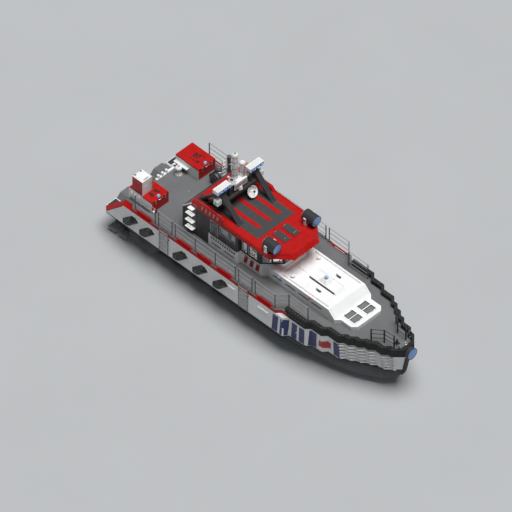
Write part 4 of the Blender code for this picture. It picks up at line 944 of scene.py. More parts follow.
class RESCUE_OT_cabin_sides(bpy.types.Operator):
    """Fit the louvres, trims and generic markings of the cabin's walls"""

    bl_idname = "rescue.cabin_sides"
    bl_label = "Cabin Sides"

    def execute(self, context):
        thick = context.scene.rescue_sizes.slat / STEP
        for side, label in SIDES:
            wall = side * WALL_HALF
            # Four white louvre blades on the dark aft panel; their finish glows faintly, as painted light
            # against the shade they cast on each other.
            for n, (start, k) in enumerate(((21.85, 14.75), (21.25, 12.95), (21.1, 10.85), (21.1, 8.85))):
                end = 23.3
                middle, out = (start + end) / 2, wall + side * 0.5
                row(f"louvre_{label}_{n}", "hull", "slat",
                    [[(middle - 0.01, out, k), (middle + 0.01, out, k)]],
                    1.0, (end - start, 0.98, thick), "louvre_white_glow", (0, 0, 1), side * 6.0, 0.04)
            trims = Pieces(f"cabin_trims_{label}")
            face = wall + side * 0.03
            # A white strip follows the sloped aft corner, and dark strips frame the panel.
            trims.prism([(19.55, face, 12.9), (19.55, face, 13.3), (22.25, face, 15.98),
                         (22.25, face, 15.55)],
                        (0, side * 0.08, 0), "fitting_white")
            trims.prism([(23.6, face, 7.3), (23.6, face, 14.9), (23.75, face, 14.9), (23.75, face, 7.3)],
                        (0, side * 0.06, 0), "frame_dark")
            # A rubbing strip along the joint of the dark and the white walls.
            trims.prism([(27.3, face, 10.55), (27.3, face, 10.75), (35.9, face, 10.75), (35.9, face, 10.55)],
                        (0, side * 0.07, 0), "trim_rubber")
            low = side * (FRONT_WALL_HALF + 0.03)
            trims.prism([(36.1, low, 10.55), (36.1, low, 10.75), (41.9, low, 10.75), (41.9, low, 10.55)],
                        (0, side * 0.07, 0), "trim_rubber")
            # Grab rails along the walls.
            for start, end, out, k in ((28.3, 35.3, WALL_HALF, 10.2), (36.6, 41.6, FRONT_WALL_HALF, 10.2)):
                line = [(start, side * out, k), (start, side * (out + 0.3), k), (end, side * (out + 0.3), k),
                        (end, side * out, k)]
                trims.tube(line, 0.06, "rail_alloy", 8)
                middle = (start + end) / 2
                trims.tube([(middle, side * out, k), (middle, side * (out + 0.3), k)], 0.05, "rail_alloy", 6)
            trims.done("hull", 0.01)
            # Generic markings: dark and red bars on the walls and blue dashes along the house.
            marks = Pieces(f"cabin_marks_{label}")
            bars = [(27.9 + n * 0.68, 0.46, 0.14, 9.25, 10.1, WALL_HALF, "mark_black") for n in range(11)]
            bars += [(36.7 + n * 1.75, 1.0, 0.55, 7.7, 10.0, FRONT_WALL_HALF, "mark_red") for n in range(3)]
            bars += [(start, wide, 0.0, 8.0, 8.3, WALL_HALF, "mark_blue") for start,
                     wide in ((28.3, 2.7), (31.9, 3.0))]
            bars += [(start, wide, 0.0, 8.35, 8.65, HOUSE_HALF, "mark_blue")
                     for start, wide in ((44.6, 2.6), (48.3, 3.0), (52.2, 3.0), (56.1, 3.0))]
            bars += [(25.0 + n * 1.15, 0.5, 0.2, 15.75, 16.85, WALL_HALF, "mark_grey") for n in range(5)]
            for i, wide, slant, foot, head, half, coat in bars:
                out = side * (half + 0.012)
                marks.prism([(i, out, foot), (i + wide, out, foot), (i + slant + wide, out, head),
                             (i + slant, out, head)], (0, side * 0.01, 0), coat)
            marks.done("hull")
        door = Pieces("door_fittings")
        pane = [(19.48, -0.75, 10.3), (19.48, 0.65, 10.3), (19.48, 0.65, 12.0), (19.48, -0.75, 12.0)]
        door.prism(pane, (-0.05, 0, 0), "skylight_glass")
        door.tube([(i - 0.05, j, k) for i, j, k in pane], 0.08, "trim_rubber", 6, True)
        for k in (8.0, 9.75, 11.6):
            door.box((19.38, -1.42, k - 0.22), (19.5, -1.1, k + 0.22), "fitting_steel")
        door.box((19.42, -0.9, 7.5), (19.5, 0.8, 8.6), "fitting_steel")
        door.done("cabin_door", 0.012)
        house = Pieces("house_fittings")
        lamps = Pieces("house_lamps")
        # Cleats, deck lights, vents and hand rails on the foredeck house.
        for side in (-1, 1):
            j = side * 3.0
            house.box((55.3, j - 0.22, HOUSE_TOP + 0.002), (56.3, j + 0.22, 9.9), "dull_steel")
            house.tube([(55.1, j, 10.25), (55.45, j, 10.12), (56.15, j, 10.12), (56.5, j, 10.25)], 0.12,
                       "dull_steel", 8)
            for i in (55.55, 56.05):
                house.tube([(i, j, 9.88), (i, j, 10.12)], 0.1, "dull_steel", 8)
            house.turned((49.0, side * 3.9, HOUSE_TOP), (0, 0, 1),
                         [(0.42, 0.0), (0.42, 0.1), (0.3, 0.16), (0.3, 0.4),
                         (0.5, 0.45), (0.42, 0.62), (0.15, 0.68)], "fitting_white", 18)
            line = [(47.2, side * 4.9, HOUSE_TOP), (47.2, side * 4.9, 10.2), (54.2, side * 4.9, 10.2),
                    (60.6, side * 4.9, 10.2),
                    (60.6, side * 4.9, HOUSE_TOP)]
            house.tube(line, 0.065, "fitting_white", 8)
            for i in (50.5, 54.2, 57.5):
                house.tube([(i, side * 4.9, HOUSE_TOP), (i, side * 4.9, 10.2)], 0.055, "fitting_white", 6)
            house.box((46.1, side * HOUSE_HALF - 0.3, 9.0), (46.9, side * HOUSE_HALF + 0.3, 9.12),
                      "fitting_steel")
            lamps.turned((46.5, side * 5.7, 9.12), (0, 0, 1),
                         [(0.24, 0.0), (0.24, 0.22), (0.16, 0.34), (0.05, 0.38)],
                         "lens_pale_blue", 16)
        house.box((47.6, -0.95, HOUSE_TOP + 0.002), (50.2, 0.95, 9.95), "fitting_white")
        house.box((47.8, -0.75, 9.95), (50.0, 0.75, 10.03), "house_white")
        # Dark strips along both sides of the raised panel are painted shade on its side faces.
        for side in (-1, 1):
            house.side_box(side, (51.6, 1.451, 9.82), (58.9, 1.52, 10.3), "frame_dark")
        house.turned((55.1, 0, 11.1), (0, 0, 1), [(0.46, 0.0), (0.46, 0.12), (0.38, 0.14)], "dull_steel", 18)
        lamps.turned((55.1, 0, 11.22), (0, 0, 1),
                     [(0.4, 0.0), (0.4, 0.25), (0.31, 0.46), (0.16, 0.58), (0.03, 0.62)],
                     "lens_pale_blue", 20)
        lamps.box((55.35, -5.66, 9.1), (55.85, -5.5, 9.45), "lens_red")
        lamps.box((55.35, 5.5, 9.1), (55.85, 5.66, 9.45), "lens_red")
        house.done("hull", 0.015)
        lamps.done("hull", 0.01)
        bolt_row("panel_bolts", [[(51.7, j, 10.352), (58.8, j, 10.352)] for j in (-1.3, 1.3)], 0.7,
                 height=0.04)
        return {"FINISHED"}


def ring(pieces, centre, axis, radius, thick, coat, sides=24):
    """A round bead about an axis; places in modules."""
    axis = Vector(axis).normalized()
    across = axis.orthogonal().normalized()
    other = axis.cross(across)
    points = []
    for n in range(sides):
        turn = 2.0 * math.pi * n / sides
        points.append(Vector(centre) + (across * math.cos(turn) + other * math.sin(turn)) * radius)
    pieces.tube(points, thick, coat, 8, True)


DOME = [(1.0, 0.0), (0.97, 0.3), (0.84, 0.6), (0.6, 0.84), (0.3, 0.97), (0.05, 1.0)]


def dome(pieces, foot, axis, radius, height, coat, sides=18):
    """A lamp dome on a foot."""
    pieces.turned(foot, axis, [(r * radius, h * height) for r, h in DOME], coat, sides)


class RESCUE_OT_deck_gear(bpy.types.Operator):
    """Fit out the boxes, locker, reel, stern and decks"""

    bl_idname = "rescue.deck_gear"
    bl_label = "Deck Gear"

    def execute(self, context):
        steel = "fitting_steel"
        white = "fitting_white"
        dull = "dull_steel"
        for side, label in SIDES:
            start = 9.75 if side < 0 else 8.1
            near, far = sorted((side * 5.8, side * 8.2))
            lid = Pieces(f"box_lid_fittings_{label}")
            lid.box((start, near, 10.002), (start + (1.35 if side < 0 else 2.6), far, 10.03), "lid_grit")
            ring(lid, (11.75, side * 7.0, 10.05), (0, 0, 1), 0.42, 0.05, dull)
            dome(lid, (11.75, side * 7.0, 10.02), (0, 0, 1), 0.4, 0.45, "lens_pale_blue")
            for j in (5.6, 8.4):
                lid.box((12.3, side * j - 0.22, 9.68), (12.42, side * j + 0.22, 9.96), steel)
            lid.tube([(12.3, side * 6.4, 9.85), (12.55, side * 6.4, 9.85), (12.55, side * 7.6, 9.85),
                      (12.3, side * 7.6, 9.85)], 0.07, steel, 8)
            lid.done(f"box_lid_{label}", 0.015)
            chest = Pieces(f"deck_box_fittings_{label}")
            for j in (5.6, 8.4):
                chest.box((12.3, side * j - 0.18, 9.0), (12.4, side * j + 0.18, 9.55), steel)
            outer = side * 9.5
            for i in (6.2, 7.1, 8.3):
                a, b = sorted((outer, outer + side * 0.2))
                chest.box((i, a, 8.7), (i + 0.35, b, 9.3), white)
            chest.tube([(6.0, outer, 7.9), (6.0, outer + side * 0.25, 7.9), (11.6, outer + side * 0.25, 7.9),
                        (11.6, outer, 7.9)], 0.07, "rail_alloy", 8)
            a, b = sorted((outer, outer + side * 0.05))
            for start_i in (5.7, 9.4):
                chest.box((start_i, a, 7.35), (start_i + 2.6, b, 7.5), "trim_rubber")
            chest.done("hull", 0.012)
        locker = Pieces("locker_fittings")
        locker.prism([(9.402, -8.75, 12.1), (9.402, -7.85, 12.1), (9.402, -8.3, 12.85)], (0.05, 0, 0), white)
        locker.tube([(9.4, -7.0, 13.2), (9.75, -7.0, 13.2), (9.75, -6.6, 12.7), (9.75, -6.6, 10.3),
                     (9.4, -6.6, 10.3)],
                    0.09, steel, 8)
        locker.box((6.9, -9.56, 10.3), (9.0, -9.5, 10.42), "trim_rubber")
        locker.done("hull", 0.01)
        lid = Pieces("locker_lid_fittings")
        lid.box((6.9, -9.2, 14.0), (8.9, -6.9, 14.08), "fitting_white")
        lid.tube([(8.9, -8.6, 14.05), (9.1, -8.6, 14.35), (9.1, -7.5, 14.35), (8.9, -7.5, 14.05)], 0.06,
                 steel, 8)
        for j in (-8.9, -7.2):
            lid.box((6.42, j - 0.2, 14.0), (6.85, j + 0.2, 14.12), steel)
        lid.done("raft_locker_lid", 0.012)

        gear = Pieces("deck_fittings")
        red = "fitting_red"
        gear.turned((12.75, -8.75, 7.004), (0, 0, 1),
                    [(0.24, 0.0), (0.26, 0.08), (0.26, 0.95), (0.2, 1.1), (0.08, 1.18),
                    (0.08, 1.32)], red, 16)
        gear.tube([(12.75, -8.75, 8.3), (12.95, -8.75, 8.38), (13.0, -8.75, 8.1), (13.0, -8.75, 7.6)], 0.045,
                  "trim_rubber", 6)
        gear.box((12.3, -8.95, 7.5), (12.6, -8.55, 7.62), white)
        gear.box((12.3, -9.4, 7.01), (12.75, -9.05, 7.5), white)
        gear.box((5.52, 1.4, 7.002), (5.58, 4.0, 7.3), "trim_rubber")
        # Lashing eyes on the aft deck.
        for i in (13.2, 17.6):
            for j in (-7.4, 0.6):
                ring(gear, (i, j, 7.14), (1, 0, 0), 0.16, 0.05, steel, 12)
                gear.turned((i, j, 7.002), (0, 0, 1), [(0.22, 0.0), (0.22, 0.03), (0.1, 0.05)], steel, 12)
        for side in (-1, 1):
            # Fairlead horns on the band behind the bow lamp.
            for i, j in ((77.2, 3.1), (78.5, 1.9)):
                for foot, tip, coat in ((i - 0.35, i - 0.1, steel), (i + 0.35, i + 0.1, "trim_rubber")):
                    gear.tube([(foot, side * j, 8.002), (foot, side * j, 8.45), (tip, side * j, 8.62)], 0.12,
                              coat, 8)
        ring(gear, (78.95, 0.0, 8.25), (0, 0, 1), 0.34, 0.07, steel, 16)
        # Tread strips and pads on the stern platform and its housings.
        for side in (-1, 1):
            gear.side_box(side, (0.0, 4.2, 2.0), (5.3, 5.8, 2.04), "deck_grit")
            gear.side_box(side, (-0.35, 7.7, 1.2), (0.8, 10.2, 1.24), "mat_rubber")
            gear.side_box(side, (1.6, 8.0, 1.0), (4.8, 9.2, 1.04), "mat_rubber")
        gear.done("hull", 0.012)
        # The sloped quarters carry rows of bolts, and the platform between them rows of pads.
        for side, label in SIDES:
            bolt_row(f"quarter_bolts_{label}", [[(0.9, side * 11.0, 1.42), (5.2, side * 11.0, 5.72)]], 0.7,
                     (-0.707, 0, 0.707))
        row("platform_pads", "hull", "slat",
            [[(i, -2.3, 1.02), (i, 2.3, 1.02)] for i in (0.1, 1.3, 2.5, 3.7)],
            0.55, (0.35, 0.9, 0.05), "mat_rubber", (0, 0, 1), 0.0, 0.01)
        rim = Pieces("reel_rims")
        for j in (5.92, 6.78):
            ring(rim, (15.5, j, 8.6), (0, 1, 0), 1.38, 0.07, "trim_rubber", 24)
            ring(rim, (15.5, j, 8.6), (0, 1, 0), 0.5, 0.06, steel, 16)
        for n in range(6):
            turn = math.pi * n / 3
            for j in (5.93, 6.77):
                rim.tube([(15.5 + math.cos(turn) * 0.45, j, 8.6 + math.sin(turn) * 0.45),
                          (15.5 + math.cos(turn) * 1.38, j, 8.6 + math.sin(turn) * 1.38)], 0.06, steel, 6)
        rim.done("reel_drum")
        stack = Pieces("stack_bands")
        for k in (9.2, 12.4, 15.2):
            ring(stack, (18.98, 6.95, k), (0, 0, 1), 0.44, 0.06, steel, 16)
        for k in (13.4, 10.6):
            dome(stack, (18.5, 6.75, k), (-1, -1, 0), 0.14, 0.12, "lens_amber", 10)
        ring(stack, (14.8, 7.95, 9.35), (0, 0, 1), 0.84, 0.07, steel, 18)
        stack.box((18.55, 6.5, 8.402), (19.4, 7.4, 8.5), dull)
        stack.done("hull", 0.01)
        spin = Pieces("capstan_ribs")
        for n in range(8):
            turn = math.pi * n / 4
            across = (math.cos(turn), math.sin(turn))
            spin.tube([(8.0 + across[0] * r, 2.8 + across[1] * r, DECK + k)
                       for r, k in ((0.74, 0.25), (0.5, 0.75), (0.54, 1.5), (0.78, 1.9))], 0.05, steel, 6)
        dome(spin, (8.0, 2.8, 9.3), (0, 0, 1), 0.3, 0.14, steel)
        spin.done("capstan")
        return {"FINISHED"}


class RESCUE_OT_mast(bpy.types.Operator):
    """Put lamps, bands and bolts on the mast, the arch and the light bars"""

    bl_idname = "rescue.mast"
    bl_label = "Mast"

    def execute(self, context):
        white = "fitting_white"
        blue = "lens_blue"
        dark = "frame_dark"
        steel = "fitting_steel"
        mast = Pieces("mast_fittings")
        lamps = Pieces("mast_lamps")
        for side in (-1, 1):
            for j in (3.7, 4.9, 6.1):
                for i, way in ((29.5, 1), (27.9, -1)):
                    ring(mast, (i + way * 0.03, side * j, 22.88), (1, 0, 0), 0.42, 0.05, dark, 16)
                    dome(lamps, (i, side * j, 22.88), (way, 0, 0), 0.4, 0.3, blue, 16)
            mast.side_box(side, (28.15, 3.1, 23.352), (29.25, 6.7, 23.42), "mark_white")
            mast.box((27.6, side * 4.75 - 0.1, 21.5), (27.7, side * 5.25 + 0.1, 22.5), steel)
            # White navigation lamp housings at the ends of the arch.
            mast.side_box(side, (28.17, 5.66, 19.17), (29.43, 6.93, 20.45), white)
            colour = "lens_green" if side < 0 else "lens_pink"
            dome(lamps, (28.8, side * 6.93, 19.8), (0, side, 0), 0.36, 0.26, colour, 16)
            mast.tube([(28.8, side * 5.7, 20.45), (28.8, side * 5.7, 20.9), (28.8, side * 6.6, 20.9),
                       (28.8, side * 6.6, 20.45)], 0.05, steel, 6)
            # Feet of the arch's struts.
            near, far = sorted((side * 4.2, side * 5.85))
            for start, end in ((22.3, 25.2), (33.4, 34.6)):
                mast.box((start, near, 16.062), (end, far, 16.16), dark)
            mast.box((27.0, side * 2.2 - 0.12, ARCH_TOP + 0.002), (28.4, side * 2.2 + 0.12, 19.8), dark)
        # Bands, rungs and lamps of the posts.
        for k in (21.2, 23.1, 25.0, 26.3):
            ring(mast, (26.4, 1.3, k), (0, 0, 1), 0.69, 0.06, dark, 8)
        for k in (21.5, 23.5):
            ring(mast, (27.0, 2.9, k), (0, 0, 1), 0.58, 0.05, dark, 8)
        for k in (21.3, 22.0, 22.7, 23.4):
            dome(lamps, (27.56, 2.9, k), (1, 0, 0), 0.24, 0.2, "lens_pink", 12)
        mast.box((26.2, 1.1, 27.34), (26.6, 1.5, 27.42), dark)
        dome(lamps, (27.1, 1.3, 26.4), (1, 0, 0), 0.2, 0.16, "lens_amber", 12)
        lamps.box((27.02, 3.87, 22.902), (27.48, 4.23, 23.1), "lens_amber")
        mast.tube([(26.95, 0.5, ARCH_TOP + 0.01), (26.95, 0.5, 20.7), (26.85, 0.1, 21.1),
                   (26.45, -0.3, 21.1)], 0.13, white, 8)
        mast.tube([(26.9, -1.2, ARCH_TOP + 0.01), (26.9, -1.2, 22.2)], 0.07, steel, 8)
        dome(mast, (26.9, -1.2, 22.2), (0, 0, 1), 0.28, 0.4, white, 14)
        for n in range(5):
            k = 20.9 + n * 1.1
            mast.tube([(25.85, 1.0, k), (25.45, 1.0, k), (25.45, 1.6, k), (25.85, 1.6, k)], 0.05, steel, 6)
        # The siren's grille and horn.
        ring(mast, (28.7, -2.0, 23.36), (0, 0, 1), 0.6, 0.06, dark, 18)
        dome(mast, (28.7, -2.0, 23.35), (0, 0, 1), 0.42, 0.12, "mark_black", 16)
        mast.done("hull", 0.012)
        lamps.done("hull")
        spans = ((-5.3, -0.9), (4.5, 5.3))
        bolt_row("arch_bolts", [[(27.5, j, ARCH_TOP + 0.01) for j in span] for span in spans], 0.6)
        scanner = Pieces("radar_trims")
        scanner.box((29.451, -1.75, 20.75), (29.48, 1.75, 21.8), "window_frame")
        scanner.box((29.0, -1.75, 20.75), (29.049, 1.75, 21.8), "frame_dark")
        for j in (-1.98, 1.98):
            scanner.box((29.02, j - 0.05, 20.42), (29.48, j + 0.05, 22.13), "trim_rubber")
        ring(scanner, (29.25, 0, 20.08), (0, 0, 1), 0.84, 0.05, "frame_dark", 20)
        scanner.done("radar_scanner", 0.012)
        dish = Pieces("dish_fittings")
        tilt = Vector((math.sin(math.radians(60.0)), 0, math.cos(math.radians(60.0))))
        centre = Vector((30.0, 2.6, 17.5))
        ring(dish, centre + tilt * 0.52, tilt, 1.3, 0.06, "fitting_white", 24)
        horn = centre + tilt * 1.25
        dish.turned(horn, -tilt, [(0.1, 0.0), (0.22, 0.08), (0.22, 0.35), (0.12, 0.42)], dark,
                    12)
        across = Vector((0, 1, 0))
        for n in range(3):
            turn = 2.0 * math.pi * n / 3 + 0.5
            spoke = across * math.cos(turn) + tilt.cross(across) * math.sin(turn)
            dish.tube([centre + spoke * 1.22 + tilt * 0.48, horn], 0.035, steel, 6)
        dish.done("roof_dish")
        return {"FINISHED"}


class RESCUE_OT_searchlights(bpy.types.Operator):
    """Give the searchlights their lenses, rims and cooling ribs"""

    bl_idname = "rescue.searchlights"
    bl_label = "Searchlights"

    def execute(self, context):
        for side, label in SIDES + ((0, "bow"),):
            body = f"searchlight_{label}" if side else "hull"
            i, j, k = (46.3, side * 5.9, 17.65) if side else (80.9, 0.0, 6.5)
            radius = 1.33 if side else 1.42
            lamp = Pieces(f"searchlight_front_{label}")
            ring(lamp, (i, j, k), (1, 0, 0), radius - 0.05, 0.06, "frame_dark", 28)
            lamp.turned((i, j, k), (1, 0, 0),
                        [(radius - 0.08, 0.0), (radius * 0.72, 0.08), (radius * 0.4, 0.14),
                        (0.05, 0.16)], "lens_searchlight", 28)
            if side:
                for step in (0.5, 0.95, 1.4):
                    ring(lamp, (i - step, j, k), (1, 0, 0), radius - 0.04, 0.05, "frame_dark", 28)
                ring(lamp, (43.02, j, k), (1, 0, 0), radius - 0.12, 0.1, "fitting_white", 28)
                lamp.turned((43.0, j, k), (-1, 0, 0), [(0.75, 0.0), (0.7, 0.12), (0.3, 0.22), (0.1, 0.24)],
                            "dull_steel", 20)
                lamp.tube([(43.05, j - 0.5, k), (42.72, j - 0.5, k), (42.72, j + 0.5, k),
                           (43.05, j + 0.5, k)], 0.06,
                          "fitting_steel", 8)
            lamp.done(body)
            if not side:
                bead = Pieces("bow_lamp_beads")
                dome(bead, (79.9, 0.0, 4.75), (1, 0, -0.2), 0.22, 0.2, "lens_pink", 14)
                ring(bead, (79.86, 0.0, 4.75), (1, 0, -0.2), 0.25, 0.05, "fitting_steel", 14)
                bead.done("hull")
                continue
            yoke = Pieces(f"yoke_knobs_{label}")
            for way in (-1, 1):
                yoke.turned((44.1, j + way * 1.5, k), (0, way, 0),
                            [(0.34, 0.0), (0.34, 0.12), (0.2, 0.2), (0.05, 0.22)],
                            "fitting_steel", 16)
                yoke.box((43.9, j + way * 1.5 - 0.03, 16.2), (44.3, j + way * 1.5 + 0.03, 17.2),
                         "fitting_white")
            yoke.done(f"lamp_yoke_{label}", 0.012)
        return {"FINISHED"}


def cushion(name, body, low, high, lean=0.0, pivot=(0, 0, 0)):
    """A crowned pad whose sides pull in between its corners, with two sewn channels; in modules."""
    low, high = Vector(low), Vector(high)
    middle, half = (low + high) / 2, (high - low) / 2
    bm = bmesh.new()
    bmesh.ops.create_cube(bm, size=2.0)
    bmesh.ops.subdivide_edges(bm, edges=bm.edges, cuts=9, use_grid_fill=True)
    turn = Matrix.Rotation(math.radians(lean), 3, "Y")
    round_off = 0.36

    def drawn_in(a, b, c):
        """A coordinate of the cube, drawn in by the other two as on a ball, but less."""
        return a * math.sqrt(1 - round_off * (b * b + c * c) / 2 + round_off * round_off * b * b * c * c / 3)

    for vert in bm.verts:
        x, y, z = vert.co
        u, v, w = drawn_in(x, y, z), drawn_in(y, x, z), drawn_in(z, x, y)
        u *= 1.0 - 0.05 * (1 - y * y)
        v *= 1.0 - 0.05 * (1 - x * x)
        if z > 0:
            w *= 0.86 + 0.14 * (1 - x * x) * (1 - y * y)
            for line in (-1.0 / 3.0, 1.0 / 3.0):
                w -= 0.16 * math.exp(-(((y - line) / 0.07) ** 2)) * (1 - abs(x) ** 4)
        point = middle + Vector((u * half.x, v * half.y, w * half.z)) - Vector(pivot)
        vert.co = at(*(Vector(pivot) + turn @ point))
    bmesh.ops.recalc_face_normals(bm, faces=bm.faces)
    for face in bm.faces:
        face.smooth = True
    mesh = bpy.data.meshes.new(name)
    bm.to_mesh(mesh)
    bm.free()
    mesh.materials.append(finish("seat_vinyl"))
    made = placed(name, mesh)
    soft = made.modifiers.new("soft", "SUBSURF")
    soft.levels = 1
    soft.render_levels = 1
    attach(made, body)


class RESCUE_OT_helm(bpy.types.Operator):
    """Replace the plain seats and dress the console"""

    bl_idname = "rescue.helm"
    bl_label = "Helm"

    def execute(self, context):
        steel = "fitting_steel"
        base = Pieces("seat_frames")
        base.box((36.4, -4.2, 7.003), (38.6, 4.2, 7.3), "mat_rubber")
        for j in (-3.0, 3.0):
            base.turned((37.5, j, 7.3), (0, 0, 1),
                        [(0.55, 0.0), (0.55, 0.1), (0.3, 0.2), (0.26, 0.9), (0.34, 0.95),
                        (0.34, 1.1), (0.26, 1.15), (0.26, 1.55)], steel, 18)
            base.box((36.5, j - 0.9, 8.75), (38.4, j + 0.9, 8.93), "fitting_white")
            base.prism([(36.35, j - 0.9, 8.93), (36.6, j - 0.9, 8.93), (36.3, j - 0.9, 12.15),
                        (36.05, j - 0.9, 12.15)],
                       (0, 1.8, 0), "fitting_white")
            for way in (-1, 1):
                arm = j + way * 0.98
                base.tube([(36.85, arm, 8.9), (36.8, arm, 10.15), (38.1, arm, 10.2)], 0.07, steel, 8)
                base.box((36.9, arm - 0.13, 10.18), (38.2, arm + 0.13, 10.34), "seat_vinyl")
            base.tube([(38.3, j - 0.5, 8.85), (38.75, j - 0.5, 8.2), (38.75, j + 0.5, 8.2),
                       (38.3, j + 0.5, 8.85)], 0.06,
                      steel, 8)
            base.box((36.55, j - 0.12, 9.2), (36.62, j + 0.12, 11.9), "belt_webbing")
        seats = base.done("hull", 0.012)
        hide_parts("helm_seats")
        for label, j in (("starboard", -3.0), ("port", 3.0)):
            cushion(f"seat_cushion_{label}", "hull", (36.6, j - 0.9, 8.93), (38.5, j + 0.9, 9.5))
            # The back is a pad that is turned to lean aft.
            cushion(f"seat_back_{label}", "hull", (33.9, j - 0.85, 9.35), (36.6, j + 0.85, 9.85), 84.0,
                    (36.6, j, 9.35))
        helm = Pieces("console_fittings")
        slope = Vector((0.7, 0, 0.8)).normalized()
        out = Vector((-0.8, 0, 0.7)).normalized()
        for j, wide in ((-3.6, 1.3), (-2.1, 1.1), (2.1, 1.1), (3.6, 1.3)):
            foot = Vector((40.72, j, 9.74)) + out * 0.01
            across = Vector((0, wide / 2, 0))
            corners = [foot - across, foot + across, foot + across + slope * 0.8, foot - across + slope * 0.8]
            helm.prism([corner - out * 0.01 for corner in corners], out * 0.1, "frame_dark")
            middle = sum(corners, Vector()) / 4
            inner = [corner + (middle - corner) * 0.14 + out * 0.1 for corner in corners]
            helm.prism(inner, out * 0.02, "instrument_screen")
        helm.box((41.4, -4.4, 10.4), (42.3, 4.4, 10.46), "mat_rubber")
        for j, colour in ((-3.8, "lens_amber"), (-2.6, "mark_red"), (-1.6, "lens_amber"), (1.8, "mark_blue"),
                          (3.2, "lens_red")):
            helm.box((41.55, j - 0.28, 10.46), (42.05, j + 0.28, 10.72), colour)
        # The wheel, on the starboard side, and two levers.
        hub = Vector((40.2, -3.0, 9.3))
        ring(helm, hub, (-0.9, 0, 0.4), 0.62, 0.06, "trim_rubber", 20)
        helm.tube([hub, (40.7, -3.0, 9.05)], 0.1, steel, 8)
        for n in range(3):
            turn = 2 * math.pi * n / 3
            way = Vector((0.4, 0, 0.9)).normalized() * math.cos(turn) + Vector((0, 1, 0)) * math.sin(turn)
            helm.tube([hub, hub + way * 0.6], 0.045, steel, 6)
        for j in (-1.55, 1.55):
            helm.tube([(40.6, j, 9.5), (40.3, j, 9.75), (40.3, j, 10.05)], 0.07, steel, 8)
            dome(helm, (40.3, j, 9.98), (0, 0, 1), 0.14, 0.22, "trim_rubber", 12)
        helm.done("hull", 0.01)
        return {"FINISHED"}


class RESCUE_OT_hull_trim(bpy.types.Operator):
    """Add the stem's plank ridges, bolts, marks and the hull's scupper slots, black slats of painted shade"""

    bl_idname = "rescue.hull_trim"
    bl_label = "Hull Trim"

    def execute(self, context):
        ridges = Pieces("stem_ridges")
        stops = [i for i, j in HIGH_SIDE if 67.0 <= i <= 78.0]
        for side in (-1, 1):
            for k in (1.1, 2.1, 3.1, 4.1, 5.1):
                ridges.tube([(i, side * (hull_side(i, k) + 0.02), k) for i in stops], 0.2, "hull_enamel", 6)
        ridges.done("hull")
        marks = Pieces("bow_marks")
        for side in (-1, 1):
            def patch(i0, i1, k0, k1, slant, coat):
                """A thin film on the hull's side that follows its breadth."""
                across, up = max(1, round((i1 - i0) / 0.5)), 4
                points, faces = [], []
                for b in range(up + 1):
                    k = k0 + (k1 - k0) * b / up
                    for a in range(across + 1):
                        i = i0 + (i1 - i0) * a / across + slant * b / up
                        points.append(at(i, side * (hull_side(i, k) + 0.05), k))
                for b in range(up):
                    for a in range(across):
                        n = b * (across + 1) + a
                        loop = (n, n + 1, n + across + 2, n + across + 1)
                        faces.append(loop if side < 0 else loop[::-1])
                marks.skin(points, faces, coat)
            for start, wide in ((50.2, 1.6), (52.5, 1.6), (54.9, 1.5), (57.0, 1.5), (59.3, 1.8), (65.1, 1.7)):
                patch(start, start + wide, 0.8, 5.4, 0.4, "mark_blue")
            patch(61.8, 64.4, 2.1, 4.0, 0.3, "mark_red")
        film = marks.done("hull")
        thick = film.modifiers.new("film", "SOLIDIFY")
        thick.thickness = 0.004
        thick.offset = 1.0
        band = ((54.2, 10.0), (59.0, 10.0), (60.0, 9.0), (63.0, 9.0), (64.0, 8.0), (67.0, 8.0), (68.0, 7.0),
                (69.0, 7.0),
                (70.0, 6.0), (71.0, 6.0), (72.0, 5.0), (73.0, 5.0), (74.0, 4.0), (76.0, 4.0), (77.0, 3.0),
                (78.0, 3.0),
                (79.0, 2.0))
        for side, label in SIDES:
            bolt_row(f"band_bolts_{label}", [[(i, side * j, 8.01) for i, j in band]], 0.8)
            bolt_row(f"band_side_bolts_{label}", [[(i, side * 10.51, 7.0) for i in (54.4, 58.9)]], 0.9,
                     (0, side, 0))
            # The scuppers along the foot of the belt are black slats of painted shade, where the dark slots
            # would be.
            face = side * (HULL_HALF + 0.01)
            row(f"scuppers_{label}", "hull", "slat",
                [[(start, face, 6.35), (end, face, 6.35)] for start, end in ((16.0, 20.0), (39.5, 44.0))],
                1.5, (0.7, 0.04, 0.16), "mark_black")
        # Clamps hold the stiles of the side ladders under the belt.
        clamps = Pieces("ladder_clamps")
        for side in (-1, 1):
            for i in (16.7, 19.3, 40.5, 43.1):
                j = side * 11.62
                clamps.box((i - 0.16, j - 0.12, 5.2), (i + 0.16, j + 0.12, 5.7), "rail_alloy")
        clamps.done("hull", 0.01)
        return {"FINISHED"}


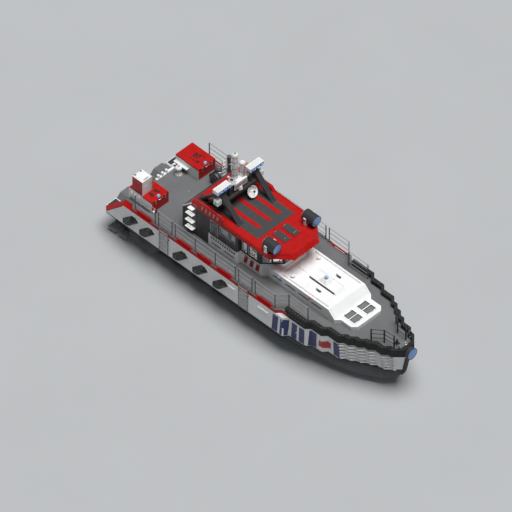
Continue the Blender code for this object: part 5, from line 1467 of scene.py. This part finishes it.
class RESCUE_OT_underwater(bpy.types.Operator):
    """Add anodes, intake grilles and propeller caps under the waterline"""

    bl_idname = "rescue.underwater"
    bl_label = "Underwater"

    def execute(self, context):
        def depth(j):
            """The bottom's depth between the keel and the bilge, amidships."""
            return -3.0 - (8.6 - abs(j)) / 7.8 * 1.2
        anodes = Pieces("anodes")
        for side in (-1, 1):
            for start, end, inner, outer, thick, coat in (
                (24.0, 26.0, 3.4, 4.3, 0.22, "anode_zinc"), (40.0, 42.0, 3.4, 4.3, 0.22, "anode_zinc"),
                (52.0, 54.0, 3.4, 4.3, 0.22, "anode_zinc"), (30.0, 33.0, 5.6, 7.4, 0.08, "dull_steel"),
            ):
                near, far = side * inner, side * outer
                anodes.prism([(start, near, depth(near)), (end, near, depth(near)), (end, far, depth(far)),
                              (start, far, depth(far))], (0, 0, -thick), coat)
            anodes.turned((13.5, side * SHAFT_HALF, SHAFT_HEIGHT), (1, 0, 0),
                          [(0.52, 0.0), (0.6, 0.15), (0.6, 0.6), (0.5, 0.8)],
                          "propeller_bronze", 18)
        anodes.done("hull", 0.03)
        for side, label in SIDES:
            lines = [[(i, side * j, depth(j) - 0.1) for i in (30.2, 32.8)]
                     for j in (5.75 + n * 0.3 for n in range(6))]
            row(f"intake_grille_{label}", "hull", "slat", lines, 0.52, (0.3, 0.12, 0.08), "fitting_steel",
                (0, side * 0.152, -0.988), 0.0, 0.01)
            hub = Pieces(f"propeller_cap_{label}")
            hub.turned((4.1, side * SHAFT_HALF, SHAFT_HEIGHT), (-1, 0, 0),
                       [(0.3, -0.1), (0.3, 0.0), (0.22, 0.2), (0.1, 0.32), (0.02, 0.34)],
                       "propeller_bronze", 18)
            hub.done(f"propeller_{label}")
            blade = Pieces(f"rudder_anode_{label}")
            for way in (-1, 1):
                blade.turned((1.5, side * SHAFT_HALF + way * 0.17, -3.3), (0, way, 0),
                             [(0.35, 0.0), (0.35, 0.1), (0.28, 0.16),
                             (0.08, 0.18)], "anode_zinc", 16)
            blade.done(f"rudder_{label}")
        return {"FINISHED"}


class RESCUE_OT_stage(bpy.types.Operator):
    """Set up the pale floor, the clear sheet at the waterline, the lights and the camera"""

    bl_idname = "rescue.stage"
    bl_label = "Stage"

    def execute(self, context):
        scene = context.scene
        ground = Shader("floor_pale", tuple(scene.rescue_colours.floor), 0.85, 0.0, Specular_IOR_Level=0.2)
        ground.cloudy(0.15, 0.03)
        Shader("water_sheet", (0.5, 0.56, 0.6), 0.3, 0.0, Alpha=scene.rescue_sizes.clearness,
               Specular_IOR_Level=0.1)
        half = FLOOR_HALF
        for name, height, coat in (("floor", FLOOR_HEIGHT, "floor_pale"),
                                   ("waterline_sheet", 0.0, "water_sheet")):
            mesh = bpy.data.meshes.new(name)
            corners = ((-half, -half), (half, -half), (half, half), (-half, half))
            mesh.from_pydata([(*corner, height) for corner in corners], [], [(0, 1, 2, 3)])
            mesh.materials.append(finish(coat))
            made = placed(name, mesh)
        world = bpy.data.worlds.new("studio")
        world.use_nodes = True
        sky = world.node_tree.nodes["Background"].inputs
        sky["Color"].default_value = SKY_COLOUR
        sky["Strength"].default_value = SKY_STRENGTH
        scene.world = world
        key = bpy.data.lights.new("key", "SUN")
        key.energy = KEY_STRENGTH
        key.angle = KEY_SPREAD
        placed("key", key).rotation_euler = KEY_WAY.to_track_quat("Z", "Y").to_euler()
        cabin = bpy.data.lights.new("cabin", "AREA")
        cabin.shape = "RECTANGLE"
        cabin.size, cabin.size_y = CABIN_LIGHT_SIZE
        cabin.energy = CABIN_LIGHT_WATTS
        placed("cabin", cabin).location = at(*CABIN_LIGHT_PLACE)
        camera = bpy.data.cameras.new("camera")
        camera.type = "ORTHO"
        camera.ortho_scale = PICTURE_BREADTH
        camera.clip_end = 300.0
        eye = placed("camera", camera)
        eye.location = PICTURE_AIM + PICTURE_BACK * EYE_DISTANCE
        eye.rotation_euler = PICTURE_BACK.to_track_quat("Z", "Y").to_euler()
        scene.camera = eye
        scene.view_settings.view_transform = "Standard"
        return {"FINISHED"}


OPERATORS = (
    RESCUE_OT_finishes, RESCUE_OT_glass, RESCUE_OT_roof, RESCUE_OT_cabin_sides, RESCUE_OT_deck_gear,
    RESCUE_OT_mast,
    RESCUE_OT_searchlights, RESCUE_OT_helm, RESCUE_OT_hull_trim, RESCUE_OT_underwater, RESCUE_OT_stage,
)


class RESCUE_PT_panel(bpy.types.Panel):
    """Lists the steps that dress the vessel"""

    bl_idname = "RESCUE_PT_panel"
    bl_label = "Rescue Vessel"
    bl_space_type = "VIEW_3D"
    bl_region_type = "UI"
    bl_category = "Rescue Vessel"

    def draw(self, context):
        layout = self.layout
        for group in (context.scene.rescue_colours, context.scene.rescue_sizes):
            box = layout.box()
            for name in group.__annotations__:
                box.prop(group, name)
        for step in OPERATORS:
            layout.operator(step.bl_idname)


CLASSES = (VesselColours, VesselSizes) + OPERATORS + (RESCUE_PT_panel,)


def register():
    """Add the classes and the scene's settings."""
    for made in CLASSES:
        bpy.utils.register_class(made)
    bpy.types.Scene.rescue_colours = bpy.props.PointerProperty(type=VesselColours)
    bpy.types.Scene.rescue_sizes = bpy.props.PointerProperty(type=VesselSizes)


def unregister():
    """Take the classes and the scene's settings away again."""
    del bpy.types.Scene.rescue_sizes
    del bpy.types.Scene.rescue_colours
    for made in reversed(CLASSES):
        bpy.utils.unregister_class(made)


def main():
    """Dress the vessel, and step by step."""
    register()
    for step in OPERATORS:
        group, name = step.bl_idname.split(".")
        getattr(getattr(bpy.ops, group), name)()


if __name__ == "__main__":
    main()
